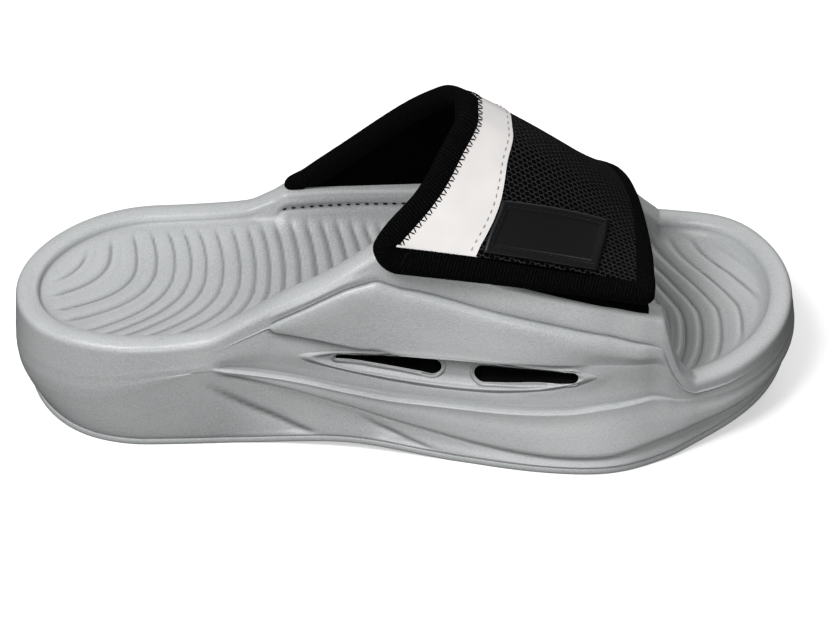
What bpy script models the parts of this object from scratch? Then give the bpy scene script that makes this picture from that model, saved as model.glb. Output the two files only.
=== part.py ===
# Sport slide sandal for the right foot.
# A moulded foam sole with a low inner wing and a high vented outer wing carries a wide
# hook-and-loop strap: one strap leaves the inner wing and ends as a flap over a short outer strap.
# Metres, +X toward the toe, +Y toward the inner side of the foot, +Z up, the tread on Z = 0.

import math

import bpy
import bmesh
import numpy as np
from mathutils import Vector

# Overall sizes
SOLE_LENGTH = 0.2856
BALL_WIDTH = 0.118
HEEL_RIM_HEIGHT = 0.047
OUTER_WING_HEIGHT = 0.087
INNER_WING_HEIGHT = 0.052
INSTEP_HEIGHT = 0.1215
FOOTBED_HEIGHT = 0.0365

# Ground line: the tread leaves the floor at the heel end, under the arch and at the toe
HEEL_SPRING = 0.005
ARCH_LIFT = 0.003
TOE_SPRING = 0.0122
HEEL_TURN = 0.050
TOE_TURN = 0.050

# Rim, wings and side band
RIM_WIDTH = 0.0085
RIM_SHOULDER = 0.0025
CUP_WALL_RUN = 0.006
CUP_RISE = 0.004
LOWER_TUCK = 0.0045
RIDGE_LEAN = 0.006
WING_LEAN = 0.0136
STEP_DEPTH = 0.0014
RIDGE_DEPTH = 0.0014
STEP_EDGE = 0.0003
RIM_CROWN = 0.0005
BAND_BULGE = 0.0005
PANEL_RAISE = 0.0010

# Vents in the outer wing
VENT_RECESS = 0.0014
VENT_REACH = 0.040

# Outsole
OUTSOLE_THICKNESS = 0.003
SOLE_EDGE_ROUND = 0.0014
TREAD_GROOVE_WIDTH = 0.003
TREAD_GROOVE_DEPTH = 0.0014
TREAD_PITCH = 0.0125
TREAD_MARGIN = 0.009

# Strap
STRAP_CORE = 0.0026
TAPE_THICKNESS = 0.0012
TAPE_WIDTH = 0.0076
SLOT_DEPTH = 0.008
OUTER_LIP = 0.002
UNDER_STRAP = 0.0034
STRAP_CROWN = 0.0040
UNDER_DROP = 0.0005
UNDER_TURN = 0.001
TAPE_BEVEL = 0.0002
LABEL_THICKNESS = 0.0011

# Usual breadth of the strap's face between its strips of tape
PANEL_BREADTH = SOLE_LENGTH * 0.2

# Clearance between pieces that touch, and between the layers of the strap, whose facets
# cut their curves a little short
GAP = 0.0003
LAYER_GAP = 0.0005
SEAM_GAP = 0.0008

# Plan outline: share of the length, centre line and half width as shares of the ball width
OUTLINE = (
    (0.00, -0.045, 0.375),
    (0.10, -0.028, 0.375),
    (0.20, -0.019, 0.375),
    (0.30, -0.003, 0.377),
    (0.35, 0.011, 0.397),
    (0.40, 0.013, 0.409),
    (0.50, 0.003, 0.426),
    (0.55, -0.003, 0.439),
    (0.60, -0.010, 0.456),
    (0.65, -0.015, 0.475),
    (0.70, -0.014, 0.487),
    (0.75, -0.008, 0.495),
    (0.80, 0.011, 0.489),
    (0.85, 0.047, 0.457),
    (0.90, 0.070, 0.450),
    (0.95, 0.074, 0.466),
    (1.00, 0.057, 0.460),
)

# Rim height as a share of the heel rim: share of the length, outer side, inner side
RIM = (
    (0.00, 0.925, 0.925),
    (0.05, 0.965, 0.930),
    (0.10, 0.996, 0.940),
    (0.20, 1.006, 0.957),
    (0.30, 1.000, 0.960),
    (0.50, 0.900, 0.900),
    (0.70, 0.750, 0.750),
    (0.80, 0.680, 0.680),
    (0.86, 0.655, 0.650),
    (0.90, 0.664, 0.664),
    (0.95, 0.706, 0.700),
    (1.00, 0.740, 0.740),
)

# Wings: how far the crest climbs from the rim to the full wing height
OUTER_WING = (
    (0.20, 0.00),
    (0.25, 0.045),
    (0.30, 0.245),
    (0.35, 0.488),
    (0.40, 0.700),
    (0.45, 0.930),
    (0.47, 1.000),
    (0.50, 0.970),
    (0.60, 0.782),
    (0.70, 0.656),
    (0.78, 0.568),
    (0.815, 0.535),
    (0.829, 0.300),
    (0.843, 0.120),
    (0.862, 0.00),
)
INNER_WING = (
    (0.20, 0.00),
    (0.29, 0.10),
    (0.325, 0.60),
    (0.345, 1.00),
    (0.75, 1.00),
    (0.775, 0.85),
    (0.80, 0.35),
    (0.83, 0.00),
)

# Side band: share of the length, step and ridge heights as shares of the heel rim,
# and how much of the step depth and of the ridge depth is there
BAND = (
    (0.00, 0.340, 0.570, 0.0, 0.0),
    (0.10, 0.450, 0.660, 0.0, 0.0),
    (0.20, 0.660, 0.755, 0.0, 0.0),
    (0.255, 0.762, 0.785, 0.0, 0.0),
    (0.28, 0.725, 0.765, 0.7, 0.7),
    (0.32, 0.650, 0.730, 1.0, 1.0),
    (0.37, 0.563, 0.687, 1.0, 1.0),
    (0.43, 0.455, 0.610, 1.0, 1.0),
    (0.50, 0.332, 0.547, 1.0, 1.0),
    (0.60, 0.213, 0.528, 1.0, 1.0),
    (0.70, 0.166, 0.540, 1.0, 1.0),
    (0.75, 0.172, 0.570, 1.0, 1.0),
    (0.80, 0.220, 0.585, 1.0, 0.7),
    (0.85, 0.255, 0.500, 1.0, 0.1),
    (0.90, 0.285, 0.450, 1.0, 0.0),
    (0.95, 0.345, 0.480, 1.0, 0.0),
    (1.00, 0.415, 0.540, 1.0, 0.0),
)

# Insets: share of the length, tuck of the lower wall, lean at the ridge, lean at the outer
# crest, lean at the inner crest, as shares of their sizes
LEANS = (
    (0.00, 1.00, 0.07, 0.11, 0.11),
    (0.10, 0.60, 0.07, 0.09, 0.09),
    (0.20, 0.45, 0.07, 0.10, 0.09),
    (0.30, 0.40, 0.08, 0.11, 0.09),
    (0.37, 0.35, 0.04, 0.12, 0.09),
    (0.42, 0.30, 0.08, 0.25, 0.09),
    (0.47, 0.20, 0.13, 0.53, 0.09),
    (0.50, 0.15, 0.20, 0.64, 0.09),
    (0.60, 0.05, 0.45, 0.88, 0.09),
    (0.70, 0.00, 0.80, 1.00, 0.09),
    (0.75, 0.00, 1.00, 0.99, 0.09),
    (0.80, 0.10, 1.00, 0.74, 0.10),
    (0.83, 0.15, 0.80, 0.45, 0.12),
    (0.86, 0.25, 0.50, 0.25, 0.13),
    (0.93, 0.45, 0.20, 0.15, 0.15),
    (1.00, 0.60, 0.17, 0.15, 0.15),
)

# Rim width share, footbed height share, cup rise on the outer side and on the inner side
FOOTBED = (
    (0.00, 1.00, 1.00, 0.70, 0.70),
    (0.20, 1.00, 1.00, 1.00, 1.00),
    (0.30, 1.00, 0.97, 1.00, 1.30),
    (0.37, 1.20, 0.94, 0.90, 1.70),
    (0.50, 1.20, 0.85, 0.80, 1.30),
    (0.65, 1.20, 0.72, 0.70, 0.80),
    (0.80, 1.15, 0.62, 0.60, 0.60),
    (0.88, 1.00, 0.62, 0.60, 0.60),
    (1.00, 1.00, 0.69, 0.70, 0.70),
)

# Raised panel of the outer wing: share of the length, lower and upper edge as shares of the
# way from ridge to crest, and how much of the raise is there below and above
PANEL = (
    (0.00, 0.45, 0.75, 0.0, 0.0),
    (0.25, 0.50, 0.75, 0.0, 0.0),
    (0.315, 0.76, 0.82, 0.0, 0.0),
    (0.335, 0.72, 0.83, 0.9, 0.9),
    (0.36, 0.60, 0.83, 1.0, 1.0),
    (0.40, 0.447, 0.83, 1.0, 1.0),
    (0.45, 0.37, 0.84, 1.0, 1.0),
    (0.50, 0.363, 0.81, 1.0, 1.0),
    (0.60, 0.414, 0.815, 1.0, 1.0),
    (0.70, 0.463, 0.81, 1.0, 1.0),
    (0.77, 0.45, 0.78, 0.2, 1.0),
    (0.80, 0.43, 0.70, 0.0, 1.0),
    (0.825, 0.45, 0.68, 0.0, 0.0),
    (1.00, 0.45, 0.75, 0.0, 0.0),
)
PANEL_EDGE_SHARE = 0.010

# Sunken field around the vents: share of the length, top and bottom as shares of the outer wing
VENT_FIELD = (
    (-0.134, 0.506, 0.496),
    (-0.115, 0.517, 0.478),
    (-0.085, 0.520, 0.442),
    (-0.036, 0.518, 0.401),
    (0.033, 0.512, 0.374),
    (0.112, 0.504, 0.360),
    (0.182, 0.496, 0.368),
    (0.217, 0.486, 0.392),
    (0.238, 0.464, 0.430),
)

# Vents: tapered slots between two round ends, each end given by its place along the length,
# its height and its radius as shares of the sole length and of the outer wing height
VENTS = (
    ((-0.084, 0.486, 0.010), (0.033, 0.447, 0.038)),
    ((0.097, 0.431, 0.040), (0.205, 0.445, 0.027)),
)

# Strap edges on the outer face: along as a share of the sole length, across as a share of the
# ball width, and up as a share of the way from the wing on that side to the instep height
STRAP_REAR_INNER = (
    (-0.135, 0.373, 0.112),
    (-0.079, 0.347, 0.335),
    (-0.013, 0.284, 0.635),
    (0.024, 0.220, 0.812),
    (0.050, 0.144, 0.940),
    (0.064, 0.059, 0.992),
)
STRAP_REAR_OUTER = (
    (0.064, -0.025, 0.957),
    (0.047, -0.123, 0.826),
    (0.033, -0.186, 0.696),
    (0.014, -0.254, 0.551),
    (-0.023, -0.339, 0.336),
    (-0.038, -0.377, 0.174),
    (-0.043, -0.398, 0.015),
    (-0.047, -0.407, -0.100),
)
STRAP_FRONT_INNER = (
    (0.232, 0.394, 0.086),
    (0.252, 0.339, 0.180),
    (0.268, 0.271, 0.252),
    (0.279, 0.203, 0.295),
    (0.287, 0.127, 0.324),
    (0.294, 0.034, 0.342),
)
STRAP_FRONT_OUTER = (
    (0.300, -0.068, -0.319),
    (0.304, -0.169, -0.304),
    (0.306, -0.254, -0.313),
    (0.306, -0.347, -0.330),
    (0.304, -0.394, -0.352),
    (0.302, -0.425, -0.395),
)
STRAP_REAR_BASE = (-0.161, 0.381)
STRAP_FRONT_BASE = (0.214, 0.430)

# Flap corners: share of the strap's run and share of its breadth that the corner takes
REAR_CORNER = (0.060, 0.12)
FRONT_CORNER = (0.030, 0.045)

# Pale wedge: share of the strap's run and share of the panel's breadth that it takes
WEDGE = (
    (0.00, 0.20),
    (0.50, 0.20),
    (0.65, 0.215),
    (0.80, 0.285),
    (1.00, 0.335),
)

# Label patch: run and breadth share of each corner
LABEL_REAR_TOP = (0.800, 0.335)
LABEL_FRONT_TOP = (0.757, 0.785)
LABEL_FRONT_END = (0.930, 0.780)
LABEL_REAR_END = (0.930, 0.375)

# Under strap: breadth shares of its edges and run shares of its rows beneath the flap
UNDER_BREADTH = (0.18, 0.985)
UNDER_RUN = (0.68, 0.76, 0.84, 0.92)

# Tread grooves: first and last share of the length under the heel and under the forefoot
TREAD_SPANS = ((0.06, 0.27), (0.59, 0.92))

# Mesh density
STATIONS = 32
CLOSE_STATIONS = ((0.255, 0.36, 6), (0.44, 0.50, 4), (0.765, 0.87, 11))
STRAP_ROWS = 25
STRAP_COLUMNS = 6
WEDGE_COLUMNS = 2
CORNER_STEPS = 5
MERGE_DISTANCE = 0.00002
CLOSE_POINTS = 0.0004

# How far out the rows under the sole lie, and how the footbed's dish deepens
UNDERSIDE_PARTS = (0.0, 0.6, 1.0)
DISH_POWER = 1.7

OUTER = 0
INNER = 1


# Curves through a table

def curve_slopes(places, values):
    # Slopes that keep a curve through the points from overshooting them
    steps = [b - a for a, b in zip(places, places[1:])]
    rises = [(b - a) / step for a, b, step in zip(values, values[1:], steps)]
    slopes = [rises[0]]
    for before, after in zip(rises, rises[1:]):
        if before * after <= 0:
            slopes.append(0.0)
        else:
            slopes.append(2 * before * after / (before + after))
    slopes.append(rises[-1])
    return slopes


def curve_value(places, values, slopes, place):
    # Cubic curve through the points, held level outside the first and the last
    if place <= places[0]:
        return values[0]
    if place >= places[-1]:
        return values[-1]
    index = int(np.searchsorted(places, place, side="right")) - 1
    step = places[index + 1] - places[index]
    t = (place - places[index]) / step
    return (values[index] * (2 * t ** 3 - 3 * t ** 2 + 1)
            + slopes[index] * step * (t ** 3 - 2 * t ** 2 + t)
            + values[index + 1] * (3 * t ** 2 - 2 * t ** 3)
            + slopes[index + 1] * step * (t ** 3 - t ** 2))


SLOPES_OF_TABLES = {}


def read_table(table, column, share):
    # Value of one column at a share of the length
    places = [row[0] for row in table]
    values = [row[column] for row in table]
    key = (table, column)
    if key not in SLOPES_OF_TABLES:
        SLOPES_OF_TABLES[key] = curve_slopes(places, values)
    return curve_value(places, values, SLOPES_OF_TABLES[key], share)


# Sole

def along(share):
    return (share - 0.5) * SOLE_LENGTH


def share_at(x):
    return x / SOLE_LENGTH + 0.5


def end_rounding(share):
    # Quarter ellipses close the outline at the heel and at the toe
    from_heel = share * SOLE_LENGTH
    from_toe = (1 - share) * SOLE_LENGTH
    factor = 1.0
    for distance, turn in ((from_heel, HEEL_TURN), (from_toe, TOE_TURN)):
        if distance < turn:
            factor *= math.sqrt(max(0.0, 1 - (1 - distance / turn) ** 2))
    return factor


def centre_line(share):
    return read_table(OUTLINE, 1, share) * BALL_WIDTH


def outline_y(share, side):
    half = read_table(OUTLINE, 2, share) * BALL_WIDTH * end_rounding(share)
    return centre_line(share) + (half if side == INNER else -half)


def ground(x):
    # Height of the tread over the floor
    share = min(1.0, max(0.0, share_at(x)))
    lift = 0.0
    if share < 0.11:
        lift += HEEL_SPRING * (1 - share / 0.11) ** 2
    if 0.29 < share < 0.57:
        lift += ARCH_LIFT * math.sin(math.pi * (share - 0.29) / 0.28) ** 2
    if share > 0.80:
        lift += TOE_SPRING * ((share - 0.80) / 0.20) ** 1.6
    return lift


def crest_height(share, side):
    rim = read_table(RIM, 1 + side, share) * HEEL_RIM_HEIGHT
    if side == OUTER:
        return rim + read_table(OUTER_WING, 1, share) * (OUTER_WING_HEIGHT - rim)
    return rim + read_table(INNER_WING, 1, share) * (INNER_WING_HEIGHT - rim)


def crest_inset(share, side):
    return read_table(LEANS, 3 + side, share) * WING_LEAN


def lower_inset(share):
    return read_table(LEANS, 1, share) * LOWER_TUCK


def wall_rows(share, side):
    # The outer wall from the bottom edge to the crest shoulder: inset from the outline, height
    bottom = ground(along(share)) + OUTSOLE_THICKNESS + GAP
    step = read_table(BAND, 1, share) * HEEL_RIM_HEIGHT
    ridge = read_table(BAND, 2, share) * HEEL_RIM_HEIGHT
    step_depth = read_table(BAND, 3, share) * STEP_DEPTH
    ridge_depth = read_table(BAND, 4, share) * RIDGE_DEPTH
    crest = crest_height(share, side)
    shoulder = crest - RIM_SHOULDER
    tuck = lower_inset(share)
    at_ridge = read_table(LEANS, 2, share) * RIDGE_LEAN
    at_crest = crest_inset(share, side)
    lower = read_table(PANEL, 1, share)
    upper = read_table(PANEL, 2, share)
    raise_below = read_table(PANEL, 3, share) * PANEL_RAISE
    raise_above = read_table(PANEL, 4, share) * PANEL_RAISE
    if side == INNER:
        raise_below = 0.0
        raise_above = 0.0

    def climb(part):
        return ridge + part * (shoulder - ridge)

    def lean(part):
        return at_ridge + part * (at_crest - at_ridge)

    first = bottom + SOLE_EDGE_ROUND
    middle = (first + step) / 2
    edge = PANEL_EDGE_SHARE
    return [
        (tuck, first),
        (tuck * 0.35 + step_depth * 0.65, middle),
        (step_depth, step - STEP_EDGE),
        (0.0, step + STEP_EDGE),
        (at_ridge * 0.5 - BAND_BULGE, (step + ridge) / 2),
        (at_ridge, ridge),
        (lean(0.05) + ridge_depth, climb(0.05)),
        (lean(lower * 0.55) + ridge_depth * 0.7, climb(lower * 0.55)),
        (lean(lower - edge) + raise_below * 0.3, climb(lower - edge)),
        (lean(lower + edge) - raise_below, climb(lower + edge)),
        (lean((lower + upper) / 2) - raise_above - BAND_BULGE, climb((lower + upper) / 2)),
        (lean(upper - edge) - raise_above, climb(upper - edge)),
        (lean(upper + edge), climb(upper + edge)),
        (at_crest, shoulder),
    ]


def top_rows(share, side):
    # Over the rim and down the cup wall: inset from the outline, height
    crest = crest_height(share, side)
    start = crest_inset(share, side)
    width = read_table(FOOTBED, 1, share) * RIM_WIDTH
    floor = footbed_edge(share, side)
    shoulder = crest - RIM_SHOULDER
    return [
        (start + width * 0.16, crest - RIM_CROWN),
        (start + width * 0.50, crest),
        (start + width * 0.84, crest - RIM_CROWN),
        (start + width, shoulder),
        (start + width + CUP_WALL_RUN * 0.35, shoulder + 0.62 * (floor - shoulder)),
        (start + width + CUP_WALL_RUN, floor),
    ]


def footbed_edge(share, side):
    rise = read_table(FOOTBED, 3 + side, share) * CUP_RISE
    return read_table(FOOTBED, 2, share) * FOOTBED_HEIGHT + rise


def footbed_centre(share):
    return read_table(FOOTBED, 2, share) * FOOTBED_HEIGHT


def spine_point(share):
    # The middle of the sole, which stops short of the round ends
    x = min(max(along(share), -SOLE_LENGTH / 2 + HEEL_TURN), SOLE_LENGTH / 2 - TOE_TURN)
    return x, centre_line(share_at(x))


def plan_point(share, side, inset):
    # A point that lies in from the outline, toward the spine
    x, y = along(share), outline_y(share, side)
    cx, cy = spine_point(share)
    reach = math.hypot(cx - x, cy - y)
    return x + (cx - x) * inset / reach, y + (cy - y) * inset / reach


def between(start, end, part):
    return start + (end - start) * part


def underside_points(share, side, height):
    # Points from the spine to the bottom edge, a height over the ground line
    cx, cy = spine_point(share)
    x, y = plan_point(share, side, lower_inset(share) + SOLE_EDGE_ROUND)
    points = []
    for part in UNDERSIDE_PARTS:
        px, py = between(cx, x, part), between(cy, y, part)
        points.append((px, py, ground(px) + height))
    return points


def sole_section(share, side):
    # One closed run of points: under the sole, up the wall, over the rim and into the footbed
    points = underside_points(share, side, OUTSOLE_THICKNESS + GAP)
    for inset, z in wall_rows(share, side) + top_rows(share, side):
        points.append((*plan_point(share, side, inset), z))
    cx, cy = spine_point(share)
    rim_x, rim_y, rim_z = points[-1]
    centre = footbed_centre(share_at(cx))
    for part in (0.66, 0.33, 0.0):
        z = centre + (rim_z - centre) * part ** DISH_POWER
        points.append((between(cx, rim_x, part), between(cy, rim_y, part), z))
    return points


def outsole_section(share, side):
    # The thin layer under the sole, with a rounded edge
    points = underside_points(share, side, 0.0)
    tuck = lower_inset(share)
    for part, inset in ((0.35, 0.3), (0.8, 0.4)):
        x, y = plan_point(share, side, tuck + SOLE_EDGE_ROUND * inset)
        points.append((x, y, ground(x) + OUTSOLE_THICKNESS * part))
    points += reversed(underside_points(share, side, OUTSOLE_THICKNESS))
    return points


def station_shares():
    # Places along the sole, close together at the ends and where the wings end
    shares = [(1 - math.cos(math.pi * i / STATIONS)) / 2 for i in range(STATIONS + 1)]
    for start, end, count in CLOSE_STATIONS:
        shares += [between(start, end, i / (count - 1)) for i in range(count)]
    kept = []
    for share in sorted(shares):
        if not kept or share - kept[-1] > 0.004 or share < 0.02:
            kept.append(share)
    kept[-1] = 1.0
    return kept


def ring_of_sections(section):
    # Sections down the outer side to the toe and back up the inner side
    shares = station_shares()
    ring = [section(share, OUTER) for share in shares]
    ring += [section(share, INNER) for share in reversed(shares[1:-1])]
    return ring


# Strap

def strap_edge_points(base, inner, outer):
    # Foot of the strap in the inner wing, over the instep, down to the end of the flap
    foot = base[0] * SOLE_LENGTH, base[1] * BALL_WIDTH
    points = [(*foot, INNER_WING_HEIGHT - SLOT_DEPTH), (*foot, INNER_WING_HEIGHT + GAP)]
    for rows, wing in ((inner, INNER_WING_HEIGHT), (outer, OUTER_WING_HEIGHT)):
        for x, y, up in rows:
            z = wing + up * (INSTEP_HEIGHT - wing)
            points.append((x * SOLE_LENGTH, y * BALL_WIDTH, z))
    return points


def run_curve(points):
    # The curve through the points, by the share of its run
    lengths = [0.0]
    for a, b in zip(points, points[1:]):
        lengths.append(lengths[-1] + math.dist(a, b))
    places = [length / lengths[-1] for length in lengths]
    axes = []
    for axis in range(3):
        values = [point[axis] for point in points]
        axes.append((values, curve_slopes(places, values)))
    return places, axes


REAR_EDGE = run_curve(strap_edge_points(STRAP_REAR_BASE, STRAP_REAR_INNER, STRAP_REAR_OUTER))
FRONT_EDGE = run_curve(strap_edge_points(STRAP_FRONT_BASE, STRAP_FRONT_INNER, STRAP_FRONT_OUTER))


def edge_point(curve, run):
    places, axes = curve
    return Vector([curve_value(places, values, slopes, run) for values, slopes in axes])


def strap_face(run, breadth):
    # Outer face of the strap: straight from the rear edge to the front edge, a little crowned
    rear = edge_point(REAR_EDGE, run)
    front = edge_point(FRONT_EDGE, run)
    point = rear + (front - rear) * breadth
    crown = STRAP_CROWN * 4 * breadth * (1 - breadth) * math.sin(math.pi * run)
    return point + Vector((0, 0, crown))


def strap_slopes(run, breadth):
    # The two directions in the face, and the outward normal
    step = 0.004
    low = min(max(run, step), 1 - step)
    along_run = (strap_face(low + step, breadth) - strap_face(low - step, breadth)) / (2 * step)
    side = min(max(breadth, step), 1 - step)
    across = (strap_face(low, side + step) - strap_face(low, side - step)) / (2 * step)
    return along_run, across, along_run.cross(across).normalized()


def strap_point(run, breadth, depth):
    return strap_face(run, breadth) - strap_slopes(run, breadth)[2] * depth


def run_above(height):
    # Share of the strap's run where both edges have left the slot in the inner wing
    run = 0.0
    while min(edge_point(REAR_EDGE, run).z, edge_point(FRONT_EDGE, run).z) < height:
        run += 0.001
    return run


LIP_RUN = run_above(INNER_WING_HEIGHT + 4 * GAP)


class EdgeSample:
    # A place on the strap's outline, with the direction of the outline there

    def __init__(self, run, breadth, run_step, breadth_step):
        self.run = run
        self.breadth = breadth
        self.lowest = min(run, LIP_RUN)
        face_run, face_breadth, normal = strap_slopes(run, breadth)
        heading = (face_run * run_step + face_breadth * breadth_step).normalized()
        inward = heading.cross(normal)
        # Solve for the run and the breadth that one metre inward takes
        a = face_run.dot(face_run)
        b = face_run.dot(face_breadth)
        c = face_breadth.dot(face_breadth)
        p = inward.dot(face_run)
        q = inward.dot(face_breadth)
        scale = a * c - b * b
        self.inward_run = (p * c - q * b) / scale
        self.inward_breadth = (q * a - p * b) / scale
        if self.inward_run * (0.5 - run) * 0.2 + self.inward_breadth * (0.5 - breadth) < 0:
            self.inward_run = -self.inward_run
            self.inward_breadth = -self.inward_breadth
        square = math.sin(face_run.angle(face_breadth))
        self.run_size = face_run.length * square
        self.breadth_size = face_breadth.length * square

    def inset(self, width):
        # The place that lies this width in from the outline, kept out of the other margins
        run = self.run + self.inward_run * width
        breadth = self.breadth + self.inward_breadth * width
        margin = width / self.breadth_size
        run = min(max(run, self.lowest), 1 - width / self.run_size)
        return run, min(max(breadth, margin), 1 - margin)


def side_samples(front, first_run, rounded=True):
    # Along one edge from the inner wing, then round the corner of the flap
    corner_run, corner_breadth = FRONT_CORNER if front else REAR_CORNER
    samples = []
    last = 1 - corner_run
    for i in range(STRAP_ROWS + 1):
        run = between(first_run, last, i / STRAP_ROWS)
        samples.append(EdgeSample(run, 1.0 if front else 0.0, 1.0, 0.0))
    if not rounded:
        samples.append(EdgeSample(1.0, 1.0 if front else 0.0, 1.0, 0.0))
        return samples
    for i in range(1, CORNER_STEPS + 1):
        turn = math.pi / 2 * i / CORNER_STEPS
        run = last + corner_run * math.sin(turn)
        breadth = corner_breadth * (1 - math.cos(turn))
        run_step = corner_run * math.cos(turn)
        breadth_step = corner_breadth * math.sin(turn)
        if front:
            breadth = 1 - breadth
            breadth_step = -breadth_step
        samples.append(EdgeSample(run, breadth, run_step, breadth_step))
    return samples


def end_samples():
    # Across the end of the flap, between its corners
    first = REAR_CORNER[1]
    last = 1 - FRONT_CORNER[1]
    count = STRAP_COLUMNS + 1
    return [EdgeSample(1.0, between(first, last, i / count), 0.0, 1.0) for i in range(1, count)]


# Meshes

def collection(name):
    made = bpy.data.collections.new(name)
    bpy.context.scene.collection.children.link(made)
    return made


def material(name, colour, roughness):
    made = bpy.data.materials.new(name)
    made.use_nodes = True
    shader = made.node_tree.nodes["Principled BSDF"]
    shader.inputs["Base Color"].default_value = (*colour, 1)
    shader.inputs["Roughness"].default_value = roughness
    shader.inputs["Metallic"].default_value = 0
    return made


def mesh_object(name, build, home, look=None):
    # An object from a function that fills a bmesh, with its points merged and faces turned out
    mesh = bpy.data.meshes.new(name)
    bm = bmesh.new()
    build(bm)
    bmesh.ops.remove_doubles(bm, verts=bm.verts, dist=MERGE_DISTANCE)
    bmesh.ops.dissolve_degenerate(bm, edges=bm.edges, dist=MERGE_DISTANCE / 4)
    bmesh.ops.recalc_face_normals(bm, faces=bm.faces)
    bm.to_mesh(mesh)
    bm.free()
    made = bpy.data.objects.new(name, mesh)
    home.objects.link(made)
    if look:
        mesh.materials.append(look)
        mesh.shade_smooth()
        mesh.set_sharp_from_angle(angle=math.radians(35))
    return made


def add_grid(bm, rows, closed_rows=False, closed_columns=False):
    # Quads between rows of points
    grid = [[bm.verts.new(point) for point in row] for row in rows]
    row_count = len(grid) if closed_rows else len(grid) - 1
    columns = len(grid[0])
    column_count = columns if closed_columns else columns - 1
    for i in range(row_count):
        for j in range(column_count):
            a, b = grid[i], grid[(i + 1) % len(grid)]
            k = (j + 1) % columns
            bm.faces.new((a[j], b[j], b[k], a[k]))
    return grid


def as_cutter(cutter):
    cutter.hide_render = True
    cutter.display_type = "WIRE"
    return cutter


def cut(target, cutter):
    modifier = target.modifiers.new("cut_" + cutter.name, "BOOLEAN")
    modifier.operation = "DIFFERENCE"
    modifier.solver = "EXACT"
    modifier.object = cutter


def thicken(target, thickness):
    modifier = target.modifiers.new("wall", "SOLIDIFY")
    modifier.thickness = thickness
    modifier.offset = 0


def without_slivers(rows):
    # Points that hardly move from one row to the next stay where they were
    for before, row in zip(rows, rows[1:]):
        for i, point in enumerate(row):
            if (point - before[i]).length < CLOSE_POINTS:
                row[i] = before[i]
    return rows


def strap_rows(first_run, width, depth, columns, rounded=True, share_span=None):
    # Rows of points across the strap, a width in from its outline; the span gives the first and
    # the last share of the breadth between those margins at a run
    rows = []
    pairs = zip(side_samples(False, first_run, rounded), side_samples(True, first_run, rounded))
    for rear, front in pairs:
        rear_run, rear_breadth = rear.inset(width)
        front_run, front_breadth = front.inset(width)
        first, last = share_span(rear.run) if share_span else (0.0, 1.0)
        row = []
        for i in range(columns + 1):
            part = between(first, last, i / columns)
            run = between(rear_run, front_run, part)
            row.append(strap_point(run, between(rear_breadth, front_breadth, part), depth))
        rows.append(row)
    return without_slivers(rows)


# Pieces of the sole

def make_sole(home, cutters, look):
    def build(bm):
        add_grid(bm, ring_of_sections(sole_section), closed_rows=True)

    sole = mesh_object("sole", build, home, look)
    cut(sole, vent_field_cutter(cutters))
    for index, vent in enumerate(VENTS):
        cut(sole, vent_cutter(index, vent, cutters))
    cut(sole, inner_slot_cutter(cutters))
    cut(sole, outer_slot_cutter(cutters))
    return sole


def outer_wall_y(x, z, sunk=0.0):
    # The outer wall's face at a place in the side view
    share = share_at(x)
    rows = wall_rows(share, OUTER)
    inset = np.interp(z, [row[1] for row in rows], [row[0] for row in rows])
    return outline_y(share, OUTER) + float(inset) + sunk


def vent_field_cutter(cutters):
    # The sunken field follows the wall a little way in, and opens outward
    across = 4

    def build(bm):
        floor = []
        for x_share, top, bottom in VENT_FIELD:
            x = x_share * SOLE_LENGTH
            column = []
            for i in range(across + 1):
                z = between(bottom, top, i / across) * OUTER_WING_HEIGHT
                column.append(Vector((x, outer_wall_y(x, z, VENT_RECESS), z)))
            floor.append(column)
        outside = [[point - Vector((0, 4 * VENT_RECESS, 0)) for point in row] for row in floor]
        for inner_row, outer_row in zip(floor, outside):
            inner_row.reverse()
        loops = [inner_row + outer_row for inner_row, outer_row in zip(floor, outside)]
        grid = add_grid(bm, loops, closed_columns=True)
        bm.faces.new(grid[0])
        bm.faces.new(grid[-1])

    return as_cutter(mesh_object("vent_field_cutter", build, cutters))


def vent_outline(vent):
    # Two round ends joined by straight sides
    (x0, z0, r0), (x1, z1, r1) = vent
    start = Vector((x0 * SOLE_LENGTH, z0 * OUTER_WING_HEIGHT))
    end = Vector((x1 * SOLE_LENGTH, z1 * OUTER_WING_HEIGHT))
    radii = r0 * OUTER_WING_HEIGHT, r1 * OUTER_WING_HEIGHT
    heading = math.atan2(end.y - start.y, end.x - start.x)
    points = []
    steps = 6
    for middle, radius, first in ((end, radii[1], heading - math.pi / 2),
                                  (start, radii[0], heading + math.pi / 2)):
        for i in range(steps + 1):
            turn = first + math.pi * i / steps
            points.append((middle.x + radius * math.cos(turn), middle.y + radius * math.sin(turn)))
    return points


def vent_cutter(index, vent, cutters):
    outline = vent_outline(vent)
    middle = sum(x for x, z in outline) / len(outline)
    face = outer_wall_y(middle, outline[0][1])

    def build(bm):
        near = face - VENT_REACH / 2
        rows = [[(x, y, z) for x, z in outline] for y in (near, near + VENT_REACH)]
        grid = add_grid(bm, rows, closed_columns=True)
        bm.faces.new(grid[0])
        bm.faces.new(grid[1])

    return as_cutter(mesh_object("vent_cutter_%d" % index, build, cutters))


def inner_slot_cutter(cutters):
    # The strap's own foot, larger by the clearance, and open at the top
    top_run = run_above(INNER_WING_HEIGHT + SLOT_DEPTH / 2)
    depth = TAPE_THICKNESS + LAYER_GAP + STRAP_CORE / 2

    def build(bm):
        add_grid(bm, foot_rows(0.0, top_run, depth, -GAP))

    cutter = mesh_object("inner_slot_cutter", build, cutters)
    thicken(cutter, STRAP_CORE + 2 * GAP)
    return as_cutter(cutter)


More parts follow.
